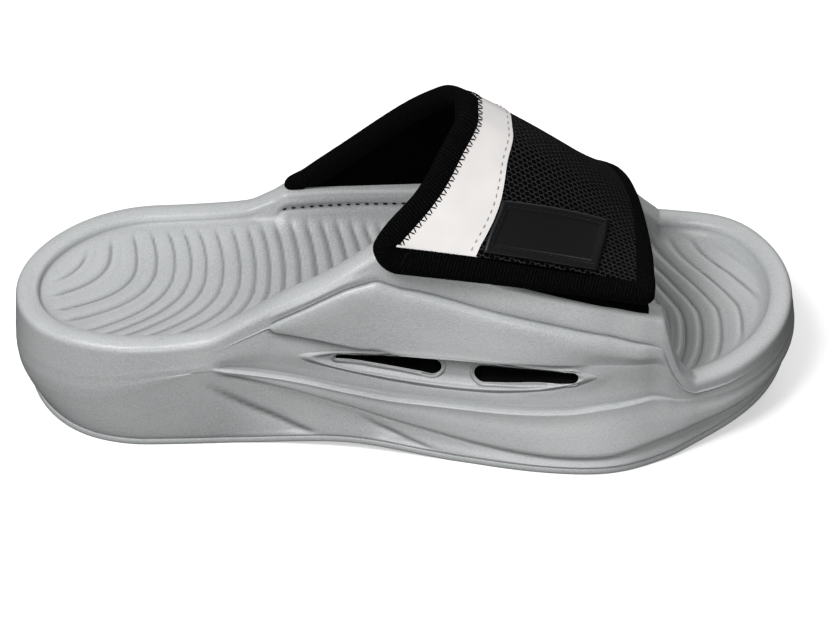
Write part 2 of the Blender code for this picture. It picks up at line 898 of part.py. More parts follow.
def foot_rows(first_run, last_run, depth, margin):
    # Rows of the strap's foot, with the margin added below and at both edges
    count = 6
    width = TAPE_THICKNESS + LAYER_GAP + margin
    rows = []
    for i in range(count + 1):
        run = between(first_run, last_run, i / count)
        rear = EdgeSample(run, 0.0, 1.0, 0.0).inset(width)[1]
        front = EdgeSample(run, 1.0, 1.0, 0.0).inset(width)[1]
        row = [strap_point(run, between(rear, front, j / STRAP_COLUMNS), depth)
               for j in range(STRAP_COLUMNS + 1)]
        if i == 0:
            row = [point + Vector((0, 0, margin)) for point in row]
        rows.append(row)
    return rows


def outer_slot_cutter(cutters):
    # The foot of the short outer strap, larger by the clearance, and open at the top
    def build(bm):
        rows = []
        for drop in (SLOT_DEPTH + GAP, SLOT_DEPTH / 2, -SLOT_DEPTH / 2):
            row = []
            for part in under_parts(-GAP):
                x, y, z = under_foot(part)
                row.append((x, y, z - drop))
            rows.append(row)
        add_grid(bm, rows)

    cutter = mesh_object("outer_slot_cutter", build, cutters)
    thicken(cutter, UNDER_STRAP + 2 * GAP)
    return as_cutter(cutter)


def make_outsole(home, cutters, look):
    def build(bm):
        add_grid(bm, ring_of_sections(outsole_section), closed_rows=True)

    outsole = mesh_object("outsole", build, home, look)
    cut(outsole, tread_cutter(cutters))
    return outsole


def tread_cutter(cutters):
    # Grooves across the tread, under the heel and under the forefoot
    def build(bm):
        for first, last in TREAD_SPANS:
            count = int((last - first) * SOLE_LENGTH / TREAD_PITCH)
            for i in range(count + 1):
                share = between(first, last, i / count)
                x = along(share)
                near = outline_y(share, OUTER) + TREAD_MARGIN
                far = outline_y(share, INNER) - TREAD_MARGIN
                box = bmesh.ops.create_cube(bm, size=1.0)["verts"]
                size = (TREAD_GROOVE_WIDTH, far - near, 2 * TREAD_GROOVE_DEPTH)
                bmesh.ops.scale(bm, vec=size, verts=box)
                bmesh.ops.translate(bm, vec=(x, (near + far) / 2, ground(x)), verts=box)

    return as_cutter(mesh_object("tread_cutter", build, cutters))


# Pieces of the strap

def make_strap_over(home, look):
    # The core of the strap: its foot in the inner wing and its run to the end of the flap
    width = TAPE_THICKNESS + LAYER_GAP
    depth = TAPE_THICKNESS + LAYER_GAP + STRAP_CORE / 2

    def build(bm):
        rows = foot_rows(0.0, LIP_RUN, depth, 0.0)[:-1]
        add_grid(bm, rows + strap_rows(LIP_RUN, width, depth, STRAP_COLUMNS))

    strap = mesh_object("strap_over", build, home, look)
    thicken(strap, STRAP_CORE)
    return strap


def under_parts(margin):
    # Breadth shares across the short outer strap, its edges moved in by a margin
    first, last = UNDER_BREADTH
    shift = -margin * (last - first) / (strap_face(1.0, last) - strap_face(1.0, first)).length
    return [between(first - shift, last + shift, i / STRAP_COLUMNS)
            for i in range(STRAP_COLUMNS + 1)]


def under_foot(part):
    # Where the short strap leaves the crest of the outer wing
    x = strap_face(1.0, part).x
    share = share_at(x)
    inset = crest_inset(share, OUTER) + OUTER_LIP + UNDER_STRAP / 2
    return x, outline_y(share, OUTER) + inset, crest_height(share, OUTER)


def make_strap_under(home, look):
    # Beneath the flap, then down into the slot of the outer wing
    close = 2 * TAPE_THICKNESS + STRAP_CORE + 3 * LAYER_GAP + UNDER_STRAP / 2
    depths = (close, close, close, close + UNDER_DROP)

    def build(bm):
        rows = []
        for run, depth in zip(UNDER_RUN, depths):
            rows.append([strap_point(run, part, depth) for part in under_parts(0.0)])
        for drop in (-UNDER_TURN, 0.5 * SLOT_DEPTH, SLOT_DEPTH):
            foot = [under_foot(part) for part in under_parts(0.0)]
            rows.append([(x, y, z - drop) for x, y, z in foot])
        add_grid(bm, rows)

    strap = mesh_object("strap_under", build, home, look)
    thicken(strap, UNDER_STRAP)
    return strap


def make_edge_binding(home, look):
    # Woven tape folded over the open edges of the strap
    total = STRAP_CORE + 2 * TAPE_THICKNESS + 2 * LAYER_GAP
    section = (
        (TAPE_WIDTH, TAPE_BEVEL),
        (TAPE_WIDTH / 2, 0.0),
        (TAPE_THICKNESS, 0.0),
        (0.0, total / 2),
        (TAPE_THICKNESS, total),
        (TAPE_WIDTH / 2, total),
        (TAPE_WIDTH, total - TAPE_BEVEL),
        (TAPE_WIDTH, total - TAPE_THICKNESS),
        (TAPE_WIDTH / 2, total - TAPE_THICKNESS),
        (TAPE_THICKNESS, total - TAPE_THICKNESS),
        (TAPE_THICKNESS, TAPE_THICKNESS),
        (TAPE_WIDTH / 2, TAPE_THICKNESS),
        (TAPE_WIDTH, TAPE_THICKNESS),
    )

    def build(bm):
        path = side_samples(False, LIP_RUN) + end_samples()
        path += list(reversed(side_samples(True, LIP_RUN)))
        rows = []
        for sample in path:
            rows.append([strap_point(*sample.inset(width), depth) for width, depth in section])
        grid = add_grid(bm, without_slivers(rows), closed_columns=True)
        bm.faces.new(grid[0])
        bm.faces.new(grid[-1])

    return mesh_object("edge_binding", build, home, look)


def wedge_share(run):
    return read_table(WEDGE, 1, run)


def make_panel(name, columns, share_span, home, look):
    # One cloth of the strap's outer face, between the strips of tape
    def build(bm):
        width = TAPE_WIDTH + 2 * LAYER_GAP
        add_grid(bm, strap_rows(LIP_RUN, width, TAPE_THICKNESS / 2, columns, False, share_span))

    panel = mesh_object(name, build, home, look)
    thicken(panel, TAPE_THICKNESS)
    return panel


def make_mesh_panel(home, look):
    def span(run):
        return wedge_share(run) + SEAM_GAP / PANEL_BREADTH, 1.0

    return make_panel("mesh_panel", STRAP_COLUMNS - 2, span, home, look)


def make_stripe_panel(home, look):
    def span(run):
        return 0.0, wedge_share(run) - SEAM_GAP / PANEL_BREADTH

    return make_panel("stripe_panel", WEDGE_COLUMNS, span, home, look)


def corner_mix(start, end, part):
    return between(start[0], end[0], part), between(start[1], end[1], part)


def make_label_patch(home, look):
    count = 5

    def build(bm):
        depth = -GAP - LABEL_THICKNESS / 2
        rows = []
        for i in range(count + 1):
            rear = corner_mix(LABEL_REAR_TOP, LABEL_REAR_END, i / count)
            front = corner_mix(LABEL_FRONT_TOP, LABEL_FRONT_END, i / count)
            rows.append([strap_point(*corner_mix(rear, front, j / count), depth)
                         for j in range(count + 1)])
        add_grid(bm, rows)

    patch = mesh_object("label_patch", build, home, look)
    thicken(patch, LABEL_THICKNESS)
    return patch


def main():
    for old in list(bpy.data.objects):
        bpy.data.objects.remove(old)
    home = collection("sport_slide_sandal")
    cutters = collection("cutters")
    foam = material("grey_foam", (0.42, 0.43, 0.43), 0.55)
    tread = material("grey_tread", (0.36, 0.37, 0.37), 0.70)
    lining = material("black_lining", (0.010, 0.010, 0.011), 0.90)
    tape = material("black_tape", (0.012, 0.012, 0.013), 0.85)
    net = material("black_mesh", (0.014, 0.014, 0.015), 0.75)
    pale = material("pale_leather", (0.79, 0.77, 0.76), 0.50)
    rubber = material("black_rubber", (0.013, 0.014, 0.016), 0.45)
    make_sole(home, cutters, foam)
    make_outsole(home, cutters, tread)
    make_strap_over(home, lining)
    make_strap_under(home, lining)
    make_edge_binding(home, tape)
    make_mesh_panel(home, net)
    make_stripe_panel(home, pale)
    make_label_patch(home, rubber)


main()
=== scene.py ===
import math

import bmesh
import bpy
import numpy as np
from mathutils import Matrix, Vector


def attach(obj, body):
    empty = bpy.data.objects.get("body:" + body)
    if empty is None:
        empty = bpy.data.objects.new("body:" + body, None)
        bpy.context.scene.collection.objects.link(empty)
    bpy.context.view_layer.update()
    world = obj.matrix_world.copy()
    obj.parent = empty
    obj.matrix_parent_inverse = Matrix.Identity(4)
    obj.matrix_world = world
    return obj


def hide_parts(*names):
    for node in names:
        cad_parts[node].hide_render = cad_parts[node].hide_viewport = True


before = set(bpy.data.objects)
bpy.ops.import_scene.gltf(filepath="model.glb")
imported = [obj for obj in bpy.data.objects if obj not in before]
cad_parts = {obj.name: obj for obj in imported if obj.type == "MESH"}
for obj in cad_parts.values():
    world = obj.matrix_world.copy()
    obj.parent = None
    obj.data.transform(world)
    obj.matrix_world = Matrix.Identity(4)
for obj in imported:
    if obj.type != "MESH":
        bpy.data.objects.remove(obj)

# Sport slide sandal, right foot: +X toe, +Y inner side, +Z up, metres.
# The curves are those of the solids, at a finer pitch, with the creases, waves, cloth and stitches added.

mm = 0.001
outerSide, innerSide = 0, 1
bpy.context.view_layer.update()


# Curves

def curveThrough(places, values):
    # smooth through the points without overshoot, level outside them
    places, values = np.array(places, float), np.array(values, float)
    steps = np.diff(places)
    rises = np.diff(values) / steps
    slopes = np.concatenate(([rises[0]], np.zeros(len(places) - 2), [rises[-1]]))
    product = rises[:-1] * rises[1:]
    total = rises[:-1] + rises[1:]
    same = product > 0
    slopes[1:-1][same] = 2 * product[same] / total[same]

    def value(x):
        x = np.clip(x, places[0], places[-1])
        i = np.clip(np.searchsorted(places, x, side="right") - 1, 0, len(places) - 2)
        step = steps[i]
        t = (x - places[i]) / step
        return (values[i] * (2 * t ** 3 - 3 * t ** 2 + 1) + slopes[i] * step * (t ** 3 - 2 * t ** 2 + t)
                + values[i + 1] * (3 * t ** 2 - 2 * t ** 3) + slopes[i + 1] * step * (t ** 3 - t ** 2))

    return value


def columnsOf(rows):
    # one curve for each column after the first
    table = np.array(rows, float)
    return [curveThrough(table[:, 0], table[:, k]) for k in range(1, table.shape[1])]


def smoothStep(low, high, x):
    t = np.clip((x - low) / (high - low), 0, 1)
    return t * t * (3 - 2 * t)


def bumpAt(distance, width):
    return np.exp(-(distance / width) ** 2)


def mixed(a, b, t):
    return a + (b - a) * t


# Sole shape

sole = {
    "length": 0.2856, "ballWidth": 0.118, "heelRim": 0.047, "outerWing": 0.087, "innerWing": 0.052,
    "footbed": 0.0365, "heelSpring": 0.005, "archLift": 0.003, "toeSpring": 0.0122,
    "heelTurn": 0.050, "toeTurn": 0.050, "rimWidth": 0.0085, "rimShoulder": 0.0025,
    "cupWallRun": 0.006, "cupRise": 0.004, "lowerTuck": 0.0045, "ridgeLean": 0.006,
    "wingLean": 0.0136, "stepDepth": 0.0021, "ridgeDepth": 0.0019, "bandBulge": 0.0005,
    "panelRaise": 0.0014, "panelGroove": 0.0004, "ventRecess": 0.0021, "outsoleThickness": 0.003,
    "edgeRound": 0.0008, "gap": 0.0003, "seam": 0.00005,
    # the vent colour is painted shade: the foam walls of the slots are coloured near black for their shaded inside
    "ventCut": (-0.090, -0.022), "ventColour": (0.004, 0.004, 0.004),
}

# share of length, centre line, half width (shares of the ball width)
outline = columnsOf((
    (0.00, -0.045, 0.375), (0.10, -0.028, 0.375), (0.20, -0.019, 0.375), (0.30, -0.003, 0.377),
    (0.35, 0.011, 0.397), (0.40, 0.013, 0.409), (0.50, 0.003, 0.426), (0.55, -0.003, 0.439),
    (0.60, -0.010, 0.456), (0.65, -0.015, 0.475), (0.70, -0.014, 0.487), (0.75, -0.008, 0.495),
    (0.80, 0.014, 0.484), (0.85, 0.047, 0.457), (0.90, 0.070, 0.450), (0.95, 0.074, 0.466),
    (1.00, 0.057, 0.460),
))
# rim height, outer and inner side (shares of the heel rim)
rimShares = columnsOf((
    (0.00, 0.925, 0.925), (0.05, 0.965, 0.930), (0.10, 0.996, 0.940), (0.20, 1.006, 0.957),
    (0.30, 1.000, 0.960), (0.50, 0.900, 0.900), (0.70, 0.750, 0.750), (0.80, 0.680, 0.680),
    (0.86, 0.655, 0.650), (0.90, 0.664, 0.664), (0.95, 0.706, 0.700), (1.00, 0.740, 0.740),
))
# climb from the rim to the full wing
wingShares = [columnsOf((
    (0.20, 0.00), (0.25, 0.045), (0.30, 0.245), (0.35, 0.488), (0.40, 0.700), (0.45, 0.930),
    (0.47, 1.000), (0.50, 0.970), (0.60, 0.782), (0.70, 0.656), (0.78, 0.568), (0.815, 0.535),
    (0.829, 0.300), (0.843, 0.120), (0.862, 0.00),
))[0], columnsOf((
    (0.20, 0.00), (0.29, 0.10), (0.325, 0.60), (0.345, 1.00), (0.75, 1.00), (0.775, 0.85),
    (0.80, 0.35), (0.83, 0.00),
))[0]]
# step height, ridge height, how much of each depth is there
band = columnsOf((
    (0.00, 0.340, 0.570, 0.0, 0.0), (0.10, 0.450, 0.660, 0.0, 0.0), (0.20, 0.660, 0.755, 0.0, 0.0),
    (0.257, 0.757, 0.783, 0.0, 0.0), (0.282, 0.722, 0.764, 0.25, 0.7), (0.32, 0.650, 0.730, 0.8, 1.0),
    (0.37, 0.563, 0.687, 1.0, 1.0), (0.43, 0.455, 0.610, 1.0, 1.0), (0.50, 0.332, 0.547, 1.0, 1.0),
    (0.60, 0.213, 0.528, 1.0, 1.0), (0.70, 0.166, 0.540, 1.0, 1.0), (0.75, 0.172, 0.570, 1.0, 1.0),
    (0.80, 0.220, 0.585, 1.0, 0.7), (0.85, 0.255, 0.500, 1.0, 0.1), (0.90, 0.285, 0.450, 1.0, 0.0),
    (0.95, 0.345, 0.480, 1.0, 0.0), (1.00, 0.415, 0.540, 1.0, 0.0),
))
# lower tuck, lean at the ridge, lean at the outer crest, lean at the inner crest
leans = columnsOf((
    (0.00, 1.00, 0.07, 0.11, 0.11), (0.10, 0.60, 0.07, 0.09, 0.09), (0.20, 0.45, 0.07, 0.10, 0.09),
    (0.30, 0.40, 0.08, 0.11, 0.09), (0.37, 0.35, 0.04, 0.12, 0.09), (0.42, 0.30, 0.08, 0.25, 0.09),
    (0.47, 0.20, 0.13, 0.53, 0.09), (0.50, 0.15, 0.20, 0.64, 0.09), (0.60, 0.05, 0.45, 0.88, 0.09),
    (0.70, 0.00, 0.80, 1.00, 0.09), (0.75, 0.00, 1.00, 0.99, 0.09), (0.80, 0.10, 1.00, 0.74, 0.10),
    (0.83, 0.15, 0.80, 0.45, 0.12), (0.86, 0.25, 0.50, 0.25, 0.13), (0.93, 0.45, 0.20, 0.15, 0.15),
    (1.00, 0.60, 0.17, 0.15, 0.15),
))
# rim width, footbed height, cup rise on the outer and on the inner side
footbedShares = columnsOf((
    (0.00, 1.00, 1.00, 0.70, 0.70), (0.20, 1.00, 1.00, 1.00, 1.00), (0.30, 1.00, 0.97, 1.00, 1.30),
    (0.37, 1.20, 0.94, 0.90, 1.70), (0.50, 1.20, 0.85, 0.80, 1.30), (0.65, 1.20, 0.72, 0.70, 0.80),
    (0.80, 1.15, 0.62, 0.60, 0.60), (0.88, 1.00, 0.62, 0.60, 0.60), (1.00, 1.00, 0.69, 0.70, 0.70),
))
# lower and upper edge of the raised panel, how much of the raise is there below and above
panelShares = columnsOf((
    (0.00, 0.45, 0.75, 0.0, 0.0), (0.25, 0.60, 0.78, 0.0, 0.0), (0.331, 0.785, 0.850, 0.0, 0.0),
    (0.341, 0.72, 0.870, 0.9, 0.9), (0.356, 0.655, 0.885, 1.0, 1.0), (0.37, 0.60, 0.90, 1.0, 1.0),
    (0.40, 0.50, 0.92, 1.0, 1.0), (0.42, 0.44, 0.915, 1.0, 1.0), (0.45, 0.375, 0.875, 1.0, 1.0),
    (0.50, 0.345, 0.815, 1.0, 1.0), (0.60, 0.405, 0.815, 1.0, 1.0), (0.67, 0.445, 0.812, 0.85, 1.0),
    (0.74, 0.460, 0.79, 0.0, 1.0), (0.79, 0.450, 0.73, 0.0, 1.0),
    (0.825, 0.45, 0.68, 0.0, 0.0), (1.00, 0.45, 0.75, 0.0, 0.0),
))
# sunken lens round the vents: middle and radius of its upper and of its lower arc, seen from the side
lensArcs = (((-0.0046, -0.3989), 0.4438), ((0.0217, 0.1957), 0.1635))
lensTip = 0.009  # how far the two arcs blend at the tips
# each vent: two round ends (along, height, radius)
vents = (
    ((-0.084, 0.486, 0.010), (0.033, 0.447, 0.038)),
    ((0.097, 0.431, 0.040), (0.205, 0.445, 0.027)),
)


def along(share):
    return (share - 0.5) * sole["length"]


def shareAt(x):
    return x / sole["length"] + 0.5


def endRounding(share):
    factor = np.ones_like(share)
    for distance, turn in ((share * sole["length"], sole["heelTurn"]),
                           ((1 - share) * sole["length"], sole["toeTurn"])):
        inside = np.clip(1 - distance / turn, 0, 1)
        factor = factor * np.sqrt(np.maximum(0, 1 - inside ** 2))
    return factor


def eased(curve, share):
    # the mean over a short span, which takes the corners out of a curve
    return sum(curve(share + part) for part in (-0.036, -0.024, -0.012, 0, 0.012, 0.024, 0.036)) / 7


def centreLine(share):
    return eased(outline[0], share) * sole["ballWidth"]


def outlineY(share, side):
    half = eased(outline[1], share) * sole["ballWidth"] * endRounding(share)
    return centreLine(share) + (half if side == innerSide else -half)


def groundHeight(x):
    share = np.clip(shareAt(x), 0, 1)
    lift = sole["heelSpring"] * np.clip(1 - share / 0.11, 0, 1) ** 2
    arch = np.where((share > 0.29) & (share < 0.57), np.sin(math.pi * (share - 0.29) / 0.28) ** 2, 0)
    return lift + sole["archLift"] * arch + sole["toeSpring"] * np.clip((share - 0.8) / 0.2, 0, 1) ** 1.6


def crestHeight(share, side):
    rim = rimShares[side](share) * sole["heelRim"]
    top = sole["outerWing"] if side == outerSide else sole["innerWing"]
    return rim + wingShares[side](share) * (top - rim)


def crestInset(share, side):
    return leans[2 + side](share) * sole["wingLean"]


def spinePoint(share):
    x = np.clip(along(share), -sole["length"] / 2 + sole["heelTurn"], sole["length"] / 2 - sole["toeTurn"])
    return x, centreLine(shareAt(x))


def planPoint(share, side, inset):
    x, y = along(share), outlineY(share, side)
    cx, cy = spinePoint(share)
    reach = np.hypot(cx - x, cy - y)
    return x + (cx - x) * inset / reach, y + (cy - y) * inset / reach


# bead of the ridge (share of its depth), undercut of the step, bevel over the panel
lines = {"bead": 0.42, "step": 0.0009, "stepWidth": 0.0011, "bevel": 0.0006, "bevelWidth": 0.0012,
         "bevelPlace": 0.0030, "panelEdge": 0.010}


def wallRows(share, side):
    bottom = groundHeight(along(share)) + sole["outsoleThickness"] + sole["seam"]
    step = band[0](share) * sole["heelRim"]
    ridge = band[1](share) * sole["heelRim"]
    stepDepth = band[2](share) * sole["stepDepth"]
    ridgeDepth = band[3](share) * sole["ridgeDepth"]
    shoulder = crestHeight(share, side) - sole["rimShoulder"]
    tuck = leans[0](share) * sole["lowerTuck"]
    atRidge = leans[1](share) * sole["ridgeLean"]
    atCrest = crestInset(share, side)
    lower, upper = panelShares[0](share), panelShares[1](share)
    bulge = smoothStep(0.26, 0.36, share) * smoothStep(0.95, 0.85, share) * sole["bandBulge"]
    raiseBelow = panelShares[2](share) * sole["panelRaise"] * (side == outerSide)
    raiseAbove = panelShares[3](share) * sole["panelRaise"] * (side == outerSide)
    groove = panelShares[3](share) * sole["panelGroove"] * (side == outerSide)

    def climb(part):
        return ridge + part * (shoulder - ridge)

    def lean(part):
        return atRidge + part * (atCrest - atRidge)

    first = bottom + sole["edgeRound"]
    edge = lines["panelEdge"]
    return [
        (tuck, first),
        (tuck * 0.45 + stepDepth * 0.65, (first + step) / 2),
        (tuck * 0.16 + stepDepth, step - 0.3 * mm),
        (tuck * 0.14, step + 0.3 * mm),
        (atRidge * 0.5 - bulge, (step + ridge) / 2),
        (atRidge * 0.94 - ridgeDepth * lines["bead"] * 0.7, ridge - 1.0 * mm),
        (atRidge - ridgeDepth * lines["bead"], ridge - 0.1 * mm),
        (lean(0.03) + ridgeDepth * 0.95, ridge + 0.75 * mm),
        (lean(lower * 0.55) + ridgeDepth * 0.7 * smoothStep(0.32, 0.43, share), climb(lower * 0.55)),
        (lean(lower - edge) + raiseBelow * 0.3, climb(lower - edge)),
        (lean(lower + edge) - raiseBelow, climb(lower + edge)),
        (lean((lower + upper) / 2) - raiseAbove - bulge, climb((lower + upper) / 2)),
        (lean(upper - edge) - raiseAbove, climb(upper - edge)),
        (lean(upper) + groove, climb(upper)),
        (lean(upper + edge), climb(upper + edge)),
        (atCrest, shoulder),
    ]


def footbedEdge(share, side):
    return footbedShares[1](share) * sole["footbed"] + footbedShares[2 + side](share) * sole["cupRise"]


def topRows(share, side):
    crest = crestHeight(share, side)
    start = crestInset(share, side)
    width = footbedShares[0](share) * sole["rimWidth"]
    floor = footbedEdge(share, side)
    shoulder = crest - sole["rimShoulder"]
    run = sole["cupWallRun"]
    return [
        (start + width * 0.045, crest - 1.35 * mm),
        (start + width * 0.16, crest - 0.5 * mm),
        (start + width * 0.50, crest),
        (start + width * 0.84, crest - 0.5 * mm),
        (start + width * 0.955, crest - 1.35 * mm),
        (start + width, shoulder),
        (start + width + run * 0.35, shoulder + 0.62 * (floor - shoulder)),
        (start + width + run, floor),
    ]


def soleControls(share, side):
    # the section's main points for every station of one side
    cx, cy = spinePoint(share)
    x, y = planPoint(share, side, leans[0](share) * sole["lowerTuck"] + sole["edgeRound"])
    rows = []
    for part in (0.0, 0.6, 1.0):
        px, py = mixed(cx, x, part), mixed(cy, y, part)
        rows.append((px, py, groundHeight(px) + sole["outsoleThickness"] + sole["seam"]))
    for inset, z in wallRows(share, side) + topRows(share, side):
        rows.append((*planPoint(share, side, inset), z))
    rimX, rimY, rimZ = rows[-1]
    centre = footbedShares[1](shareAt(cx)) * sole["footbed"]
    for part in (0.66, 0.33, 0.0):
        rows.append((mixed(cx, rimX, part), mixed(cy, rimY, part), centre + (rimZ - centre) * part ** 1.7))
    return np.array([np.stack(np.broadcast_arrays(*row), -1) for row in rows])


def refine(controls, substeps):
    # smooth rows between the main points, along the first axis
    chord = np.linalg.norm(np.diff(controls, axis=0), axis=-1) + 1e-9
    rises = np.diff(controls, axis=0) / chord[..., None]
    slopes = np.zeros_like(controls)
    slopes[0], slopes[-1] = rises[0], rises[-1]
    product = rises[:-1] * rises[1:]
    total = np.where(product > 0, rises[:-1] + rises[1:], 1)
    slopes[1:-1] = np.where(product > 0, 2 * product / total, 0)
    rows = [controls[0]]
    for i, count in enumerate(substeps):
        step = chord[i][..., None]
        for k in range(1, count + 1):
            t = k / count
            rows.append(controls[i] * (2 * t ** 3 - 3 * t ** 2 + 1) + slopes[i] * step * (t ** 3 - 2 * t ** 2 + t)
                        + controls[i + 1] * (3 * t ** 2 - 2 * t ** 3)
                        + slopes[i + 1] * step * (t ** 3 - t ** 2))
    return np.array(rows)


def stationShares(middleStep):
    # fine and even along the sides, closer round the heel and the toe
    turnShare = sole["heelTurn"] / sole["length"]
    turns = (1 - np.cos(np.linspace(0, math.pi / 2, 56))) * turnShare
    middle = np.linspace(turnShare, 1 - turnShare, int((1 - 2 * turnShare) * sole["length"] / middleStep))
    return np.concatenate((turns, middle[1:-1], 1 - turns[::-1]))


def ring(controlsOf, substeps, middleStep=0.9 * mm):
    shares = stationShares(middleStep)
    near = refine(controlsOf(shares, outerSide), substeps)
    far = refine(controlsOf(shares[1:-1], innerSide), substeps)
    return np.concatenate((near, far[:, ::-1]), axis=1), len(shares)


# Meshes

def gridObject(name, points, material, closeRows=False, closeColumns=False, uv=None, weld=0.0, solid=0.0):
    rows, columns = points.shape[:2]
    index = np.arange(rows * columns).reshape(rows, columns)
    if closeRows:
        index = np.vstack((index, index[:1]))
    if closeColumns:
        index = np.hstack((index, index[:, :1]))
    quads = np.stack((index[:-1, :-1], index[1:, :-1], index[1:, 1:], index[:-1, 1:]), -1).reshape(-1, 4)
    mesh = bpy.data.meshes.new(name)
    mesh.from_pydata(points.reshape(-1, 3).tolist(), [], quads.tolist())
    if uv is not None:
        layer = mesh.uv_layers.new(name="cloth")
        corners = np.zeros(len(mesh.loops), int)
        mesh.loops.foreach_get("vertex_index", corners)
        layer.data.foreach_set("uv", (uv.reshape(-1, 2)[corners] / mm).ravel())
    bm = bmesh.new()
    bm.from_mesh(mesh)
    if weld:
        bmesh.ops.remove_doubles(bm, verts=bm.verts, dist=weld)
        bmesh.ops.dissolve_degenerate(bm, edges=bm.edges, dist=weld / 4)
    bmesh.ops.recalc_face_normals(bm, faces=bm.faces)
    bm.to_mesh(mesh)
    bm.free()
    made = bpy.data.objects.new(name, mesh)
    bpy.context.scene.collection.objects.link(made)
    mesh.materials.append(material)
    if solid:
        wall = made.modifiers.new("wall", "SOLIDIFY")
        wall.thickness = solid
        wall.offset = 0
        rounding = made.modifiers.new("rounding", "BEVEL")
        rounding.width = solid * 0.3
        rounding.segments = 2
        rounding.limit_method = "ANGLE"
        rounding.angle_limit = math.radians(50)
        applyModifiers(made)
    made.data.shade_smooth()
    return made


def applyModifiers(target):
    graph = bpy.context.evaluated_depsgraph_get()
    mesh = bpy.data.meshes.new_from_object(target.evaluated_get(graph))
    target.modifiers.clear()
    target.data = mesh


def normalsOf(points, closed=True):
    alongRows = np.gradient(points, axis=0)
    if closed:
        alongColumns = (np.roll(points, -1, 1) - np.roll(points, 1, 1)) / 2
    else:
        alongColumns = np.gradient(points, axis=1)
    normal = np.cross(alongColumns, alongRows)
    return normal / np.maximum(np.linalg.norm(normal, axis=-1, keepdims=True), 1e-12)


def place(piece, slot, *nodes):
    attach(piece, "root")
    if nodes:
        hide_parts(*nodes)
    return piece


# Materials

class Shader:
    # a Principled material with short calls for its nodes
    def __init__(self, name, colour, roughness, specular=0.5):
        self.material = bpy.data.materials.new(name)
        self.material.use_nodes = True
        self.nodes = self.material.node_tree.nodes
        self.links = self.material.node_tree.links
        self.shader = self.nodes["Principled BSDF"]
        self.set(("Base Color", (*colour, 1)), ("Roughness", roughness), ("Specular IOR Level", specular))

    def set(self, *pairs):
        for name, value in pairs:
            self.shader.inputs[name].default_value = value

    def node(self, kind, settings=None, **inputs):
        made = self.nodes.new("ShaderNode" + kind)
        for name, value in (settings or {}).items():
            setattr(made, name, value)
        for name, value in inputs.items():
            key = int(name[1:]) if name[0] == "i" and name[1:].isdigit() else name
            self.feed(made, key, value)
        return made

    def feed(self, target, key, value):
        socket = target.inputs[key]
        if isinstance(value, bpy.types.NodeSocket):
            self.links.new(value, socket)
        else:
            socket.default_value = value

    def math(self, operation, a, b=0.0, c=0.0):
        return self.node("Math", {"operation": operation}, i0=a, i1=b, i2=c).outputs[0]

    def vector(self, operation, a, b=(0, 0, 0)):
        return self.node("VectorMath", {"operation": operation}, i0=a, i1=b)

    def coordinates(self, cloth=False):
        name = "UV" if cloth else "Object"
        return self.node("TexCoord").outputs[name]

    def noise(self, coordinates, scale, detail=2.0, roughness=0.5):
        made = self.node("TexNoise", None, Scale=scale, Detail=detail, Roughness=roughness)
        self.links.new(coordinates, made.inputs["Vector"])
        return made.outputs["Fac"]

    def range(self, value, low, high, toLow, toHigh, smooth=False):
        made = self.node("MapRange", {"interpolation_type": "SMOOTHSTEP" if smooth else "LINEAR"}, Value=value)
        for key, number in (("From Min", low), ("From Max", high), ("To Min", toLow), ("To Max", toHigh)):
            made.inputs[key].default_value = number
        return made.outputs["Result"]

    def mix(self, factor, a, b):
        made = self.node("Mix", {"data_type": "RGBA"})
        self.feed(made, 0, factor)
        self.feed(made, 6, a if isinstance(a, bpy.types.NodeSocket) else (*a, 1))
        self.feed(made, 7, b if isinstance(b, bpy.types.NodeSocket) else (*b, 1))
        return made.outputs[2]

    def bump(self, *heights):
        # each height is (socket, distance, strength)
        before = None
        for height, distance, strength in heights:
            made = self.node("Bump", None, Height=height, Distance=distance, Strength=strength)
            if before:
                self.links.new(before, made.inputs["Normal"])
            before = made.outputs["Normal"]
        self.links.new(before, self.shader.inputs["Normal"])

    def colourFrom(self, socket):
        self.links.new(socket, self.shader.inputs["Base Color"])

    def roughnessFrom(self, socket):
        self.links.new(socket, self.shader.inputs["Roughness"])


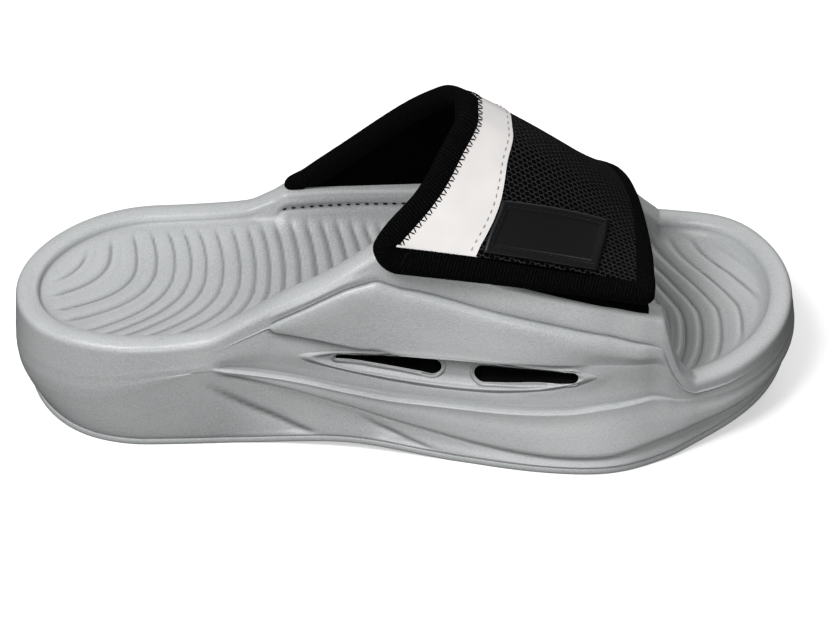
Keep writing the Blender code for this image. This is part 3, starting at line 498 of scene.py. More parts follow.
def lensRim(foam, where):
    # the thin raised rim of the sunken lens round the vents, on the outer wall only
    sideways, across, height = foam.node("SeparateXYZ", None, Vector=where).outputs
    place = foam.node("CombineXYZ", None, X=sideways, Y=height).outputs[0]
    gaps = []
    for middle, radius in lensArcs:
        away = foam.vector("SUBTRACT", place, (*middle, 0)).outputs[0]
        gaps.append(foam.math("SUBTRACT", foam.vector("LENGTH", away).outputs[1], radius))
    outside = foam.math("SMOOTH_MAX", gaps[0], gaps[1], lensTip)
    rim = foam.range(foam.math("ABSOLUTE", foam.math("SUBTRACT", outside, 0.0004)), 0.0, 0.0011, 1.0, 0.0, True)
    for (x0, z0, r0), (x1, z1, r1) in vents:
        start = np.array((x0 * sole["length"], z0 * sole["outerWing"], 0))
        run = np.array((x1 * sole["length"], z1 * sole["outerWing"], 0)) - start
        away = foam.vector("SUBTRACT", place, tuple(start)).outputs[0]
        part = foam.vector("DOT_PRODUCT", away, tuple(run / (run @ run))).outputs[1]
        part = foam.range(part, 0.0, 1.0, 0.0, 1.0)
        nearest = foam.node("VectorMath", {"operation": "SCALE"}, i0=tuple(run))
        foam.links.new(part, nearest.inputs["Scale"])
        gap = foam.vector("LENGTH", foam.vector("SUBTRACT", away, nearest.outputs[0]).outputs[0]).outputs[1]
        size = foam.range(part, 0.0, 1.0, r0 * sole["outerWing"], r1 * sole["outerWing"])
        beside = foam.math("ABSOLUTE", foam.math("SUBTRACT", foam.math("SUBTRACT", gap, size), 0.0009))
        rim = foam.math("MAXIMUM", rim, foam.range(beside, 0.0, 0.0009, 0.7, 0.0, True))
    facing = foam.node("SeparateXYZ", None, Vector=foam.node("NewGeometry").outputs["True Normal"]).outputs["Y"]
    outer = foam.math("MULTIPLY", foam.math("LESS_THAN", across, 0.0), foam.math("LESS_THAN", facing, -0.1))
    return foam.math("MULTIPLY", rim, outer)


def foamMaterial():
    look = {"colour": (0.375, 0.385, 0.388), "light": (0.45, 0.46, 0.463), "dark": (0.29, 0.30, 0.303),
            "grain": 1300, "speckle": 2400, "roughness": 0.40, "hollowShade": 0.55}
    foam = Shader("greyFoam", look["colour"], look["roughness"], 0.5)
    where = foam.coordinates()
    cloud = foam.noise(where, 22, 2)
    speckle = foam.noise(where, look["speckle"], 1, 0.6)
    grain = foam.noise(where, look["grain"], 2, 0.55)
    base = foam.mix(foam.range(cloud, 0.35, 0.65, 0.3, 0.7), look["dark"], look["light"])
    speckled = foam.mix(foam.range(speckle, 0.35, 0.68, 0.0, 1.0), base, look["light"])
    grained = foam.mix(foam.range(grain, 0.30, 0.46, 0.35, 0.0), speckled, look["dark"])
    # painted shade: concave hollows, grooves and creases of the foam are darkened towards a dark grey by pointiness
    hollowShade = foam.range(foam.node("NewGeometry").outputs["Pointiness"], 0.465, 0.498, look["hollowShade"], 0.0)
    foam.colourFrom(foam.mix(hollowShade, grained, (0.12, 0.125, 0.127)))
    foam.roughnessFrom(foam.range(cloud, 0.3, 0.7, look["roughness"] - 0.05, look["roughness"] + 0.06))
    lens = lensRim(foam, where)
    foam.bump((grain, 0.00022, 0.40), (speckle, 0.00012, 0.3), (lens, 0.0012, 0.9))
    return foam.material


def tapeMaterial():
    # the crest colour is a painted highlight for the knit's rib crests and fuzz
    look = {"colour": (0.0018, 0.0018, 0.002), "crest": (0.0125, 0.0125, 0.0130), "rib": 1.15, "roughness": 0.85}
    tape = Shader("ribbedTape", look["colour"], look["roughness"], 0.07)
    where = tape.coordinates(cloth=True)
    waver = tape.noise(where, 0.8, 3)
    alongTape, acrossTape, unused = tape.node("SeparateXYZ", None, Vector=where).outputs
    slant = tape.math("ADD", alongTape, tape.math("MULTIPLY", acrossTape, 0.16))
    ribs = tape.math("SINE", tape.math("ADD", tape.math("MULTIPLY", slant, 2 * math.pi / look["rib"]),
                                       tape.math("MULTIPLY", waver, 7.5)))
    cross = tape.math("SINE", tape.math("MULTIPLY", acrossTape, 2 * math.pi / 0.8))
    fuzz = tape.noise(where, 4.5, 3, 0.7)
    weave = tape.math("ADD", tape.math("MULTIPLY", ribs, 0.7), tape.math("MULTIPLY", cross, 0.25))
    # painted highlight: rib crests and fuzz are lightened towards the crest colour
    tape.colourFrom(tape.mix(tape.range(tape.math("ADD", weave, fuzz), 0.5, 1.7, 0.0, 1.0),
                             look["colour"], look["crest"]))
    tape.bump((weave, 0.0004, 0.9), (fuzz, 0.0003, 0.7))
    return tape.material


def meshMaterial():
    look = {"hole": (0.0003, 0.0003, 0.0003), "thread": (0.0076, 0.0076, 0.0081), "glint": (0.105, 0.105, 0.110),
            "cell": 1.85, "roughness": 0.6}
    cloth = Shader("honeycombMesh", look["thread"], look["roughness"], 0.08)
    where = cloth.coordinates(cloth=True)
    wobble = cloth.noise(where, 0.6, 1)
    shift = cloth.vector("ADD", where, (1000.0, 1000.0, 0.0)).outputs[0]
    cell = cloth.vector("MULTIPLY", shift, (1 / look["cell"], 1 / look["cell"] * 1.05, 0)).outputs[0]
    spacing = (1.0, math.sqrt(3), 1.0)
    half = (0.5, math.sqrt(3) / 2, 0.5)

    def toCentre(offset):
        moved = cloth.vector("ADD", cell, offset).outputs[0]
        wrapped = cloth.vector("MODULO", moved, spacing).outputs[0]
        return cloth.vector("SUBTRACT", wrapped, half).outputs[0]

    first, second = toCentre((0, 0, 0)), toCentre(half)
    nearer = cloth.math("LESS_THAN", cloth.vector("LENGTH", first).outputs[1],
                        cloth.vector("LENGTH", second).outputs[1])
    pick = cloth.node("Mix", {"data_type": "VECTOR"})
    cloth.feed(pick, 0, nearer)
    cloth.feed(pick, 4, second)
    cloth.feed(pick, 5, first)
    spot = cloth.vector("ABSOLUTE", pick.outputs[1]).outputs[0]
    sideways = cloth.node("SeparateXYZ", None, Vector=spot).outputs[0]
    slanted = cloth.vector("DOT_PRODUCT", spot, (0.5, math.sqrt(3) / 2, 0)).outputs[1]
    hexagon = cloth.math("MAXIMUM", sideways, slanted)
    thread = cloth.range(hexagon, 0.27, 0.42, 0.0, 1.0, True)
    fibre = cloth.noise(where, 5.0, 2, 0.7)
    glint = cloth.math("MULTIPLY", cloth.range(hexagon, 0.42, 0.49, 0.0, 1.0),
                       cloth.range(fibre, 0.48, 0.62, 0.0, 1.0))
    strand = cloth.mix(glint, look["thread"], look["glint"])
    cloth.colourFrom(cloth.mix(thread, look["hole"], strand))
    cloth.bump((thread, 0.0005, 0.9), (fibre, 0.0001, 0.4), (wobble, 0.0003, 0.2))
    return cloth.material


def liningMaterial():
    look = {"colour": (0.0012, 0.0012, 0.0013), "roughness": 0.95}
    lining = Shader("blackLining", look["colour"], look["roughness"], 0.04)
    nap = lining.noise(lining.coordinates(), 2200, 2, 0.6)
    lining.colourFrom(lining.mix(nap, look["colour"], (0.003, 0.003, 0.0032)))
    lining.bump((nap, 0.0003, 0.6))
    return lining.material


def leatherMaterial():
    look = {"colour": (0.66, 0.64, 0.63), "shade": (0.60, 0.585, 0.575), "roughness": 0.50}
    leather = Shader("paleLeather", look["colour"], look["roughness"], 0.25)
    where = leather.coordinates()
    grain = leather.noise(where, 1300, 2, 0.6)
    cloud = leather.noise(where, 60, 2)
    leather.colourFrom(leather.mix(leather.range(cloud, 0.3, 0.7, 0.0, 1.0), look["shade"], look["colour"]))
    leather.bump((grain, 0.0001, 0.3))
    return leather.material


def rubberMaterial():
    look = {"colour": (0.0070, 0.0072, 0.0079), "roughness": 0.40}
    rubber = Shader("blackRubber", look["colour"], look["roughness"], 0.22)
    grain = rubber.noise(rubber.coordinates(), 2400, 2, 0.6)
    rubber.colourFrom(rubber.mix(grain, look["colour"], (0.0085, 0.0088, 0.0095)))
    rubber.bump((grain, 0.00012, 0.3))
    return rubber.material


def plainMaterial(name, colour, roughness):
    plain = Shader(name, colour, roughness, 0.1)
    nap = plain.noise(plain.coordinates(), 3000, 2, 0.6)
    lighter = tuple(min(1.0, part * 1.25) for part in colour)
    plain.colourFrom(plain.mix(nap, colour, lighter))
    plain.bump((nap, 0.0001, 0.4))
    return plain.material


foam = foamMaterial()
tapeLook = tapeMaterial()
meshLook = meshMaterial()
liningLook = liningMaterial()
leatherLook = leatherMaterial()
rubberLook = rubberMaterial()
threadBlack = plainMaterial("blackThread", (0.0030, 0.0030, 0.0030), 0.7)
threadGrey = plainMaterial("greyThread", (0.26, 0.26, 0.27), 0.7)
# black thread of the label, lightened as a painted highlight
threadBlackSheen = plainMaterial("blackThreadSheen", (0.020, 0.020, 0.021), 0.5)
# painted shade: the walls of the vent slots are painted near black
ventDark = plainMaterial("ventDark", sole["ventColour"], 0.9)
print("materials made")


# Footbed waves

waves = {
    "height": 0.00032, "groove": 0.00072, "flat": 0.30, "crest": 0.62,
    # where each groove crosses the middle of the footbed, in mm from the sole's middle
    "grooves": (-127, -118, -109, -99.2, -91.9, -85.2, -79.2, -73.6, -67.4, -61.2, -55.5, -50.2, -44.8,
                -39, -33, -27, -21, -15, -9, -3, 3, 9, 15, 21, 27, 33, 39, 45, 51, 57, 63, 69.5, 76,
                82.6, 89.2, 95.3, 101.4, 107.5, 114.5, 122, 130, 138.5),
}
# heel arcs: their middle, how far they lie back 30 mm toward the inner and toward the outer side
heelArcs = columnsOf((
    (-127, 19, 9, 34), (-108, 16, 10, 31), (-99, 12, 10.7, 31), (-85, 11, 11.4, 17), (-55, 7, 6.6, 12),
    (-39, 6, 6, 9), (20, -2, 5, 7),
))
# toe lines: how far they lie back, by place across
toeBend = columnsOf((
    (-40, 11), (-33, 7), (-26, 3.5), (-20, 1.6), (-12, 0.3), (-4, 0.0), (3, 0.5), (11, 3.6), (17, 6.8),
    (24, 11), (30, 15.3), (38, 20.6), (50, 25.5),
))[0]


def waveRelief(x, y):
    # height of the waves at places of the footbed
    x, y = x / mm, y / mm
    apex = x.copy()
    for repeat in range(24):
        middle, inner, outer = (curve(apex) for curve in heelArcs)
        aside = np.where(y > middle, inner, outer) * (np.abs(y - middle) / 30) ** 2.1
        toward = smoothStep(-25, 70, apex)
        apex = mixed(apex, x + mixed(aside, toeBend(y), toward), 0.45)
    grooves = np.array(waves["grooves"], float)
    number = np.interp(apex, grooves, np.arange(len(grooves)))
    part = number - np.floor(number)
    rise = smoothStep(waves["flat"], waves["crest"], part)
    fall = np.clip((part - waves["crest"]) / (1 - waves["crest"]), 0, 1) ** 1.6
    relief = waves["height"] * (rise - fall * 1.0)
    pitch = np.interp(apex, (grooves[1:] + grooves[:-1]) / 2, np.diff(grooves))
    nearest = np.minimum(part, 1 - part) * pitch
    relief = relief - waves["groove"] * bumpAt(nearest, 0.80)
    return relief * smoothStep(-124, -117, apex) * smoothStep(141, 134, apex)


def lineDistance(x, z, points):
    # distance to a polyline in the side view, and which side of it
    best = np.full(x.shape, 1e9)
    for (x0, z0), (x1, z1) in zip(points, points[1:]):
        dx, dz = x1 - x0, z1 - z0
        t = np.clip(((x - x0) * dx + (z - z0) * dz) / (dx * dx + dz * dz), 0, 1)
        gap = np.hypot(x - x0 - t * dx, z - z0 - t * dz)
        side = np.sign((x - x0) * dz - (z - z0) * dx)
        best = np.where(gap < np.abs(best), gap * np.where(side == 0, 1, side), best)
    return best


creases = {
    "depth": 0.0016, "width": 0.0030,
    "lines": (((-0.0736, 0.0313), (-0.0586, 0.0197), (-0.0543, 0.0169), (-0.041, 0.0099), (-0.034, 0.0065),
               (-0.026, 0.0025)),
              ((-0.0186, 0.0172), (-0.0093, 0.0119), (0.0014, 0.007), (0.0093, 0.0038), (0.018, 0.0005))),
}


# rolled lip of the inner wing and its stitched seam, measured down from the crest
lip = {"from": 0.325, "to": 0.80, "seamDrop": 0.0055, "seamDepth": 0.0009, "seamWidth": 0.0009,
       "rollDrop": 0.0030, "rollHeight": 0.0006, "rollWidth": 0.0018}


def makeSole():
    # how many rows lie between each two main points of the section
    substeps = [1, 1, 2, 9, 9, 3, 6, 3, 3, 4, 5, 4, 3, 9, 7, 2, 2, 5, 2, 2, 3, 3, 2, 2, 5, 5, 16, 16, 15]
    points, stations = ring(soleControls, substeps)
    starts = np.concatenate(([0], np.cumsum(substeps)))
    wall, rimTop, cupWall, floor = starts[3], starts[18], starts[24], starts[26]
    x, y, z = points[..., 0], points[..., 1], points[..., 2]
    row = np.arange(points.shape[0])[:, None] * np.ones_like(x)
    isOuter = np.arange(points.shape[1])[None, :] < stations
    normal = normalsOf(points)
    if normal[wall + 5, stations // 2, 1] > 0:
        normal = -normal
    push = np.zeros_like(x)
    onWall = (row >= wall) & (row <= rimTop) & isOuter

    upper, lower = (np.hypot(x - middle[0], z - middle[1]) - radius for middle, radius in lensArcs)
    blend = np.maximum(lensTip - np.abs(upper - lower), 0) / lensTip
    outside = np.maximum(upper, lower) + blend ** 3 * lensTip / 6
    push -= onWall * sole["ventRecess"] * smoothStep(0.0002, -0.0022, outside)
    push += onWall * 0.0004 * bumpAt(outside - 0.0012, 0.0012)

    lowest = groundHeight(x) + sole["outsoleThickness"]
    for line in creases["lines"]:
        away = lineDistance(x, z, line)
        ends = smoothStep(line[0][0] - 0.002, line[0][0] + 0.016, x) * smoothStep(0.0005, 0.0025, z - lowest)
        ends = ends * smoothStep(line[-1][0] + 0.012, line[-1][0], x)
        lowSide = np.where(away > 0, np.exp(-away / creases["width"] / 1.6), bumpAt(away, 0.0012))
        push -= onWall * creases["depth"] * lowSide * ends

    # ridge, step and panel lines of the outer wall
    share = np.clip(shareAt(x), 0, 1)
    bottomZ, ridge = (curve(share) * sole["heelRim"] for curve in band[:2])
    panelTop = ridge + panelShares[1](share) * (crestHeight(share, outerSide) - sole["rimShoulder"] - ridge)
    present = band[2](share)
    push -= onWall * present * lines["step"] * bumpAt(z - bottomZ + 0.0006, lines["stepWidth"])
    raised = panelShares[3](share) * smoothStep(0.50, 0.42, share)
    push += onWall * raised * lines["bevel"] * bumpAt(z - panelTop - lines["bevelPlace"], lines["bevelWidth"])

    onCup = (row >= rimTop) & (row <= floor) & ~isOuter
    share = shareAt(x)
    seamSpan = smoothStep(lip["from"], lip["from"] + 0.020, share) * smoothStep(lip["to"], lip["to"] - 0.03, share)
    drop = crestHeight(share, innerSide) - z
    onLip = onCup * seamSpan * (row > cupWall)
    push -= onLip * lip["seamDepth"] * bumpAt(drop - lip["seamDrop"], lip["seamWidth"])
    push += onLip * lip["rollHeight"] * bumpAt(drop - lip["rollDrop"], lip["rollWidth"])
    points = points + normal * push[..., None]

    # waves run over the footbed and fade out up the side of the cup
    fade = smoothStep(cupWall + 5, floor + 3, row)
    relief = waveRelief(x, y) * fade * (row >= cupWall)
    points[..., 2] += relief
    made = gridObject("soleFoam", points, foam, closeColumns=True, weld=0.000004)
    made.data.materials.append(ventDark)
    for index, vent in enumerate(vents):
        cutVent(made, index, vent)
    made.data.shade_smooth()
    made.data.set_sharp_from_angle(angle=math.radians(70))
    return place(made, "grey_foam", "sole")


def cutVent(target, index, vent):
    (x0, z0, r0), (x1, z1, r1) = vent
    start = np.array((x0 * sole["length"], z0 * sole["outerWing"]))
    end = np.array((x1 * sole["length"], z1 * sole["outerWing"]))
    heading = math.atan2(end[1] - start[1], end[0] - start[0])
    loop = []
    for middle, radius, first in ((end, r1, heading - math.pi / 2), (start, r0, heading + math.pi / 2)):
        for k in range(17):
            turn = first + math.pi * k / 16
            loop.append(middle + radius * sole["outerWing"] * np.array((math.cos(turn), math.sin(turn))))
    count = len(loop)
    vertices = [(x, y, z) for y in sole["ventCut"] for x, z in loop]
    faces = [tuple(range(count)), tuple(range(2 * count - 1, count - 1, -1))]
    faces += [(k, (k + 1) % count, count + (k + 1) % count, count + k) for k in range(count)]
    mesh = bpy.data.meshes.new("ventCutter")
    mesh.from_pydata(vertices, [], faces)
    bm = bmesh.new()
    bm.from_mesh(mesh)
    bmesh.ops.recalc_face_normals(bm, faces=bm.faces)
    bm.to_mesh(mesh)
    bm.free()
    # the cutter's faces become the vent walls and carry the painted vent shade
    mesh.materials.append(foam)
    mesh.materials.append(ventDark)
    mesh.polygons.foreach_set("material_index", np.ones(len(mesh.polygons), int))
    cutter = bpy.data.objects.new("ventCutter", mesh)
    bpy.context.scene.collection.objects.link(cutter)
    modifier = target.modifiers.new("vent%d" % index, "BOOLEAN")
    modifier.operation = "DIFFERENCE"
    modifier.solver = "EXACT"
    modifier.object = cutter
    applyModifiers(target)
    bpy.data.objects.remove(cutter)


def outsoleControls(share, side):
    cx, cy = spinePoint(share)
    tuck = leans[0](share) * sole["lowerTuck"]
    x, y = planPoint(share, side, tuck + sole["edgeRound"])
    rows = []
    for part in (0.0, 0.6, 1.0):
        px, py = mixed(cx, x, part), mixed(cy, y, part)
        rows.append((px, py, groundHeight(px)))
    for part, inset in ((0.35, 0.3), (0.8, 0.4)):
        px, py = planPoint(share, side, tuck + sole["edgeRound"] * inset)
        rows.append((px, py, groundHeight(px) + sole["outsoleThickness"] * part))
    for part in (1.0, 0.6, 0.0):
        px, py = mixed(cx, x, part), mixed(cy, y, part)
        rows.append((px, py, groundHeight(px) + sole["outsoleThickness"]))
    return np.array([np.stack(np.broadcast_arrays(*row), -1) for row in rows])


tread = {"grooveWidth": 0.003, "grooveDepth": 0.0014, "pitch": 0.0125, "margin": 0.009,
         "spans": ((0.06, 0.27), (0.59, 0.92))}


def makeOutsole():
    points, stations = ring(outsoleControls, [14, 14, 2, 2, 2, 1, 1], 0.6 * mm)
    x, y = points[..., 0], points[..., 1]
    share = np.clip(shareAt(x), 0, 1)
    inside = np.minimum(y - outlineY(share, outerSide), outlineY(share, innerSide) - y) - tread["margin"]
    low = (points[..., 2] - groundHeight(x) < 0.0008) * smoothStep(0, 0.001, inside)
    for first, last in tread["spans"]:
        count = int((last - first) * sole["length"] / tread["pitch"])
        for k in range(count + 1):
            away = np.abs(x - along(mixed(first, last, k / count)))
            points[..., 2] += low * tread["grooveDepth"] * smoothStep(1.1, 0.8, away / (tread["grooveWidth"] / 2))
    made = gridObject("outsoleTread", points, foam, closeColumns=True, weld=0.000004)
    return place(made, "grey_tread", "outsole")


makeSole()
makeOutsole()
print("sole made")


# Strap shape

strap = {
    "instep": 0.1215, "core": 0.0026, "tape": 0.0012, "tapeWidth": 0.0076, "slotDepth": 0.008,
    "outerLip": 0.002, "under": 0.0034, "crown": 0.0040, "label": 0.0011, "layerGap": 0.0005,
    "seamGap": 0.0003, "rearCorner": (0.060, 0.12), "frontCorner": (0.030, 0.045),
}
strapRear = ((-0.135, 0.373, 0.112), (-0.079, 0.347, 0.335), (-0.013, 0.284, 0.635), (0.024, 0.220, 0.812),
             (0.050, 0.144, 0.940), (0.064, 0.059, 0.992))
flapRear = ((0.064, -0.025, 0.957), (0.047, -0.123, 0.826), (0.033, -0.186, 0.696), (0.014, -0.254, 0.551),
            (-0.023, -0.339, 0.336), (-0.038, -0.377, 0.174), (-0.043, -0.398, 0.015), (-0.047, -0.407, -0.100))
strapFront = ((0.232, 0.394, 0.086), (0.252, 0.339, 0.180), (0.268, 0.271, 0.252), (0.279, 0.203, 0.295),
              (0.287, 0.127, 0.324), (0.294, 0.034, 0.342))
flapFront = ((0.300, -0.068, -0.319), (0.304, -0.169, -0.304), (0.306, -0.254, -0.313), (0.306, -0.347, -0.330),
             (0.304, -0.394, -0.352), (0.302, -0.425, -0.395))
strapFeet = ((-0.161, 0.381), (0.214, 0.430))
wedge = columnsOf(((0.00, 0.20), (0.50, 0.20), (0.65, 0.215), (0.80, 0.285), (1.00, 0.335)))[0]
labelCorners = {"rearTop": (0.800, 0.335), "frontTop": (0.757, 0.785), "frontEnd": (0.930, 0.780),
                "rearEnd": (0.930, 0.375)}


def edgeCurve(foot, inner, outer):
    x, y = foot[0] * sole["length"], foot[1] * sole["ballWidth"]
    points = [(x, y, sole["innerWing"] - strap["slotDepth"]), (x, y, sole["innerWing"] + sole["gap"])]
    for rows, wing in ((inner, sole["innerWing"]), (outer, sole["outerWing"])):
        points += [(a * sole["length"], b * sole["ballWidth"], wing + up * (strap["instep"] - wing))
                   for a, b, up in rows]
    points = np.array(points)
    lengths = np.concatenate(([0], np.cumsum(np.linalg.norm(np.diff(points, axis=0), axis=1))))
    axes = [curveThrough(lengths / lengths[-1], points[:, k]) for k in range(3)]
    return lambda run: np.stack([axis(run) for axis in axes], -1)


rearEdge = edgeCurve(strapFeet[0], strapRear, flapRear)
frontEdge = edgeCurve(strapFeet[1], strapFront, flapFront)


def strapFace(run, breadth):
    run, breadth = np.broadcast_arrays(np.asarray(run, float), np.asarray(breadth, float))
    rear, front = rearEdge(run), frontEdge(run)
    point = rear + (front - rear) * breadth[..., None]
    point[..., 2] += strap["crown"] * 4 * breadth * (1 - breadth) * np.sin(math.pi * run)
    return point


def strapSlopes(run, breadth):
    step = 0.004
    low = np.clip(run, step, 1 - step)
    faceRun = (strapFace(low + step, breadth) - strapFace(low - step, breadth)) / (2 * step)
    side = np.clip(breadth, step, 1 - step)
    faceBreadth = (strapFace(low, side + step) - strapFace(low, side - step)) / (2 * step)
    normal = np.cross(faceRun, faceBreadth)
    return faceRun, faceBreadth, normal / np.linalg.norm(normal, axis=-1, keepdims=True)


def strapPoint(run, breadth, depth):
    depth = np.asarray(depth, float)
    return strapFace(run, breadth) - strapSlopes(run, breadth)[2] * depth[..., None]


runs = np.linspace(0, 0.3, 301)
lipRun = float(runs[np.argmax(np.minimum(rearEdge(runs)[:, 2], frontEdge(runs)[:, 2])
                              > sole["innerWing"] + 4 * sole["gap"])])


class EdgeSamples:
    # places on the strap's outline, each with the way inward
    def __init__(self, run, breadth, runStep, breadthStep):
        self.run, self.breadth = run, breadth
        faceRun, faceBreadth, normal = strapSlopes(run, breadth)
        heading = faceRun * runStep[:, None] + faceBreadth * breadthStep[:, None]
        heading /= np.linalg.norm(heading, axis=1, keepdims=True)
        inward = np.cross(heading, normal)
        pairs = ((faceRun, faceRun), (faceRun, faceBreadth), (faceBreadth, faceBreadth))
        a, b, c = ((u * v).sum(1) for u, v in pairs)
        p, q = (inward * faceRun).sum(1), (inward * faceBreadth).sum(1)
        scale = a * c - b * b
        self.inwardRun, self.inwardBreadth = (p * c - q * b) / scale, (q * a - p * b) / scale
        toMiddle = self.inwardRun * (0.5 - run) * 0.2 + self.inwardBreadth * (0.5 - breadth)
        sign = np.where(toMiddle > 0, 1, -1)
        self.inwardRun, self.inwardBreadth = self.inwardRun * sign, self.inwardBreadth * sign
        square = np.sqrt(np.maximum(1 - b * b / (a * c), 0))
        self.runSize, self.breadthSize = np.sqrt(a) * square, np.sqrt(c) * square

    def inset(self, width):
        run = self.run + self.inwardRun * width
        margin = width / self.breadthSize
        wider = mixed(1.5, 1.0, smoothStep(0.0, 0.75, self.breadth))  # the tape is broader at the rear corner
        run = np.minimum(np.maximum(run, np.minimum(self.run, lipRun)), 1 - width * wider / self.runSize)
        return run, np.clip(self.breadth + self.inwardBreadth * width, margin, 1 - margin)


def sideSamples(front, count, rounded=True, cornerCount=16, firstRun=None):
    # along one edge from the inner wing, then round the corner of the flap
    cornerRun, cornerBreadth = strap["frontCorner"] if front else strap["rearCorner"]
    run = np.linspace(lipRun if firstRun is None else firstRun, 1 - cornerRun if rounded else 1.0, count)
    turn = np.linspace(0, math.pi / 2, cornerCount + 1)[1:] if rounded else np.zeros(0)
    breadth = np.concatenate((np.zeros(count), cornerBreadth * (1 - np.cos(turn))))
    breadthStep = np.concatenate((np.zeros(count), cornerBreadth * np.sin(turn)))
    runStep = np.concatenate((np.ones(count), cornerRun * np.cos(turn) + 1e-9))
    run = np.concatenate((run, 1 - cornerRun + cornerRun * np.sin(turn)))
    if front:
        breadth, breadthStep = 1 - breadth, -breadthStep
    return EdgeSamples(run, breadth, runStep, breadthStep)


def endSamples(count):
    breadth = np.linspace(strap["rearCorner"][1], 1 - strap["frontCorner"][1], count)[1:-1]
    return EdgeSamples(np.ones_like(breadth), breadth, np.zeros_like(breadth), np.ones_like(breadth))


def strapGrid(width, depth, columns, rows, span=None, rounded=True):
    # points across the strap between margins, as (rows, columns), with their run and breadth
    rear, front = sideSamples(False, rows, rounded), sideSamples(True, rows, rounded)
    rearRun, rearBreadth = rear.inset(width)
    frontRun, frontBreadth = front.inset(width)
    first, last = span(rear.run) if span else (np.zeros_like(rearRun), np.ones_like(rearRun))
    part = mixed(first[:, None], last[:, None], np.linspace(0, 1, columns)[None, :])
    run = mixed(rearRun[:, None], frontRun[:, None], part)
    breadth = mixed(rearBreadth[:, None], frontBreadth[:, None], part)
    return strapPoint(run, breadth, np.full(run.shape, depth)), run, breadth


def clothSizes(points, run, breadth):
    # flat coordinates of the cloth: along the shoe, and down the strap from its top
    ordered = np.linspace(0, 1, 400)
    ribs = np.array([strapFace(ordered, b) for b in np.linspace(0, 1, 21)])
    steps = np.hypot(np.diff(ribs[..., 1], axis=1), np.diff(ribs[..., 2], axis=1))
    lengths = np.concatenate((np.zeros((21, 1)), np.cumsum(steps, axis=1)), axis=1)
    top = lengths[:, 200:201]
    lengths = lengths - top
    place = np.clip(breadth, 0, 1) * 20
    low = np.clip(place.astype(int), 0, 19)
    part = place - low
    column = np.clip(run * 399, 0, 398)
    left = column.astype(int)
    t = column - left

    def read(line):
        return mixed(lengths[line, left], lengths[line, left + 1], t)

    down = mixed(read(low), read(low + 1), part)
    return np.stack((points[..., 0] + down * 0.35, down), -1)


def settle(points, close=0.00025):
    # points that hardly move from one row to the next stay where they were
    for k in range(1, len(points)):
        near = np.linalg.norm(points[k] - points[k - 1], axis=-1) < close
        points[k][near] = points[k - 1][near]
    return points


def closedShell(outer, inner):
    # rows of both faces joined round into tubes, so the sheet has a real wall
    return np.concatenate((outer, inner[:, ::-1]), axis=1)


def makeStrapCore():
    width = strap["tape"] + strap["layerGap"]
    rows = []
    for depth in (width, width + strap["core"]):
        face, run, breadth = strapGrid(width, depth, 40, 150)
        foot = []
        for footRun in np.linspace(0, lipRun, 8)[:-1]:
            edge = width / 0.09
            across = np.linspace(edge, 1 - edge, 40)
            foot.append(strapPoint(np.full(40, footRun), across, np.full(40, depth)))
        rows.append(np.concatenate((np.array(foot), settle(face))))
    points = closedShell(rows[0], rows[1])
    made = gridObject("strapLining", points, liningLook, closeColumns=True, weld=0.00001)
    fillEnds(made)
    return place(made, "black_lining", "strap_over")


def fillEnds(target):
    bm = bmesh.new()
    bm.from_mesh(target.data)
    loose = [edge for edge in bm.edges if len(edge.link_faces) == 1]
    bmesh.ops.holes_fill(bm, edges=loose, sides=0)
    bmesh.ops.recalc_face_normals(bm, faces=bm.faces)
    bm.to_mesh(target.data)
    bm.free()


tapeStart = lipRun * 0.55  # the tape goes a little way into the wing


def makeTape():
    total = strap["core"] + 2 * strap["tape"] + 2 * strap["layerGap"]
    thick, wide = strap["tape"], strap["tapeWidth"]
    section = [(wide, thick * 0.55), (wide - 0.1 * mm, thick * 0.22), (wide * 0.9, 0.05 * mm),
               (wide * 0.6, -0.10 * mm), (wide * 0.3, -0.05 * mm)]
    for k in range(9):
        turn = math.pi * k / 8
        section.append((total / 2 * 0.7 * (1 - math.sin(turn)), total / 2 * (1 - math.cos(turn))))
    section += [(wide * 0.3, total + 0.05 * mm), (wide * 0.6, total + 0.1 * mm), (wide * 0.9, total - 0.05 * mm),
                (wide, total - thick * 0.55), (wide, total - thick), (thick, total - thick), (thick, thick),
                (wide, thick)]
    rear, front = (sideSamples(side, 230, firstRun=tapeStart) for side in (False, True))
    end = endSamples(80)
    columns = []
    for width, depth in section:
        parts = []
        for samples, flip in ((rear, False), (end, False), (front, True)):
            run, breadth = samples.inset(max(width, 0))
            line = strapPoint(run, breadth, np.full(run.shape, depth))
            parts.append(line[::-1] if flip else line)
        columns.append(np.concatenate(parts))
    points = settle(np.stack(columns, axis=1), 0.0001)
    edgeLine = points[:, 9]
    lengthAlong = np.concatenate(([0], np.cumsum(np.linalg.norm(np.diff(edgeLine, axis=0), axis=1))))
    acrossSteps = np.linalg.norm(np.diff(points, axis=1), axis=2)
    across = np.concatenate((np.zeros((len(points), 1)), np.cumsum(acrossSteps, axis=1)), axis=1)
    uv = np.stack((np.broadcast_to(lengthAlong[:, None], across.shape), across), -1)
    made = gridObject("strapTape", points, tapeLook, closeColumns=True, uv=uv, weld=0.000005)
    fillEnds(made)
    return place(made, "black_tape", "edge_binding")


def makePanel(name, slot, look, columns, span, node, thickness, lift):
    # one cloth of the strap's face, between the strips of tape
    width = strap["tapeWidth"] - 0.1 * mm
    faces = []
    for depth in (lift, thickness):
        points, run, breadth = strapGrid(width, depth, columns, 260, span, rounded=False)
        faces.append((settle(points, 0.00008), run, breadth))
    points = closedShell(faces[0][0], faces[1][0])
    uv = clothSizes(*faces[0])
    uv = np.concatenate((uv, uv[:, ::-1]), axis=1)
    made = gridObject(name, points, look, closeColumns=True, uv=uv, weld=0.000005)
    fillEnds(made)
    made.data.set_sharp_from_angle(angle=math.radians(50))
    return place(made, slot, node)


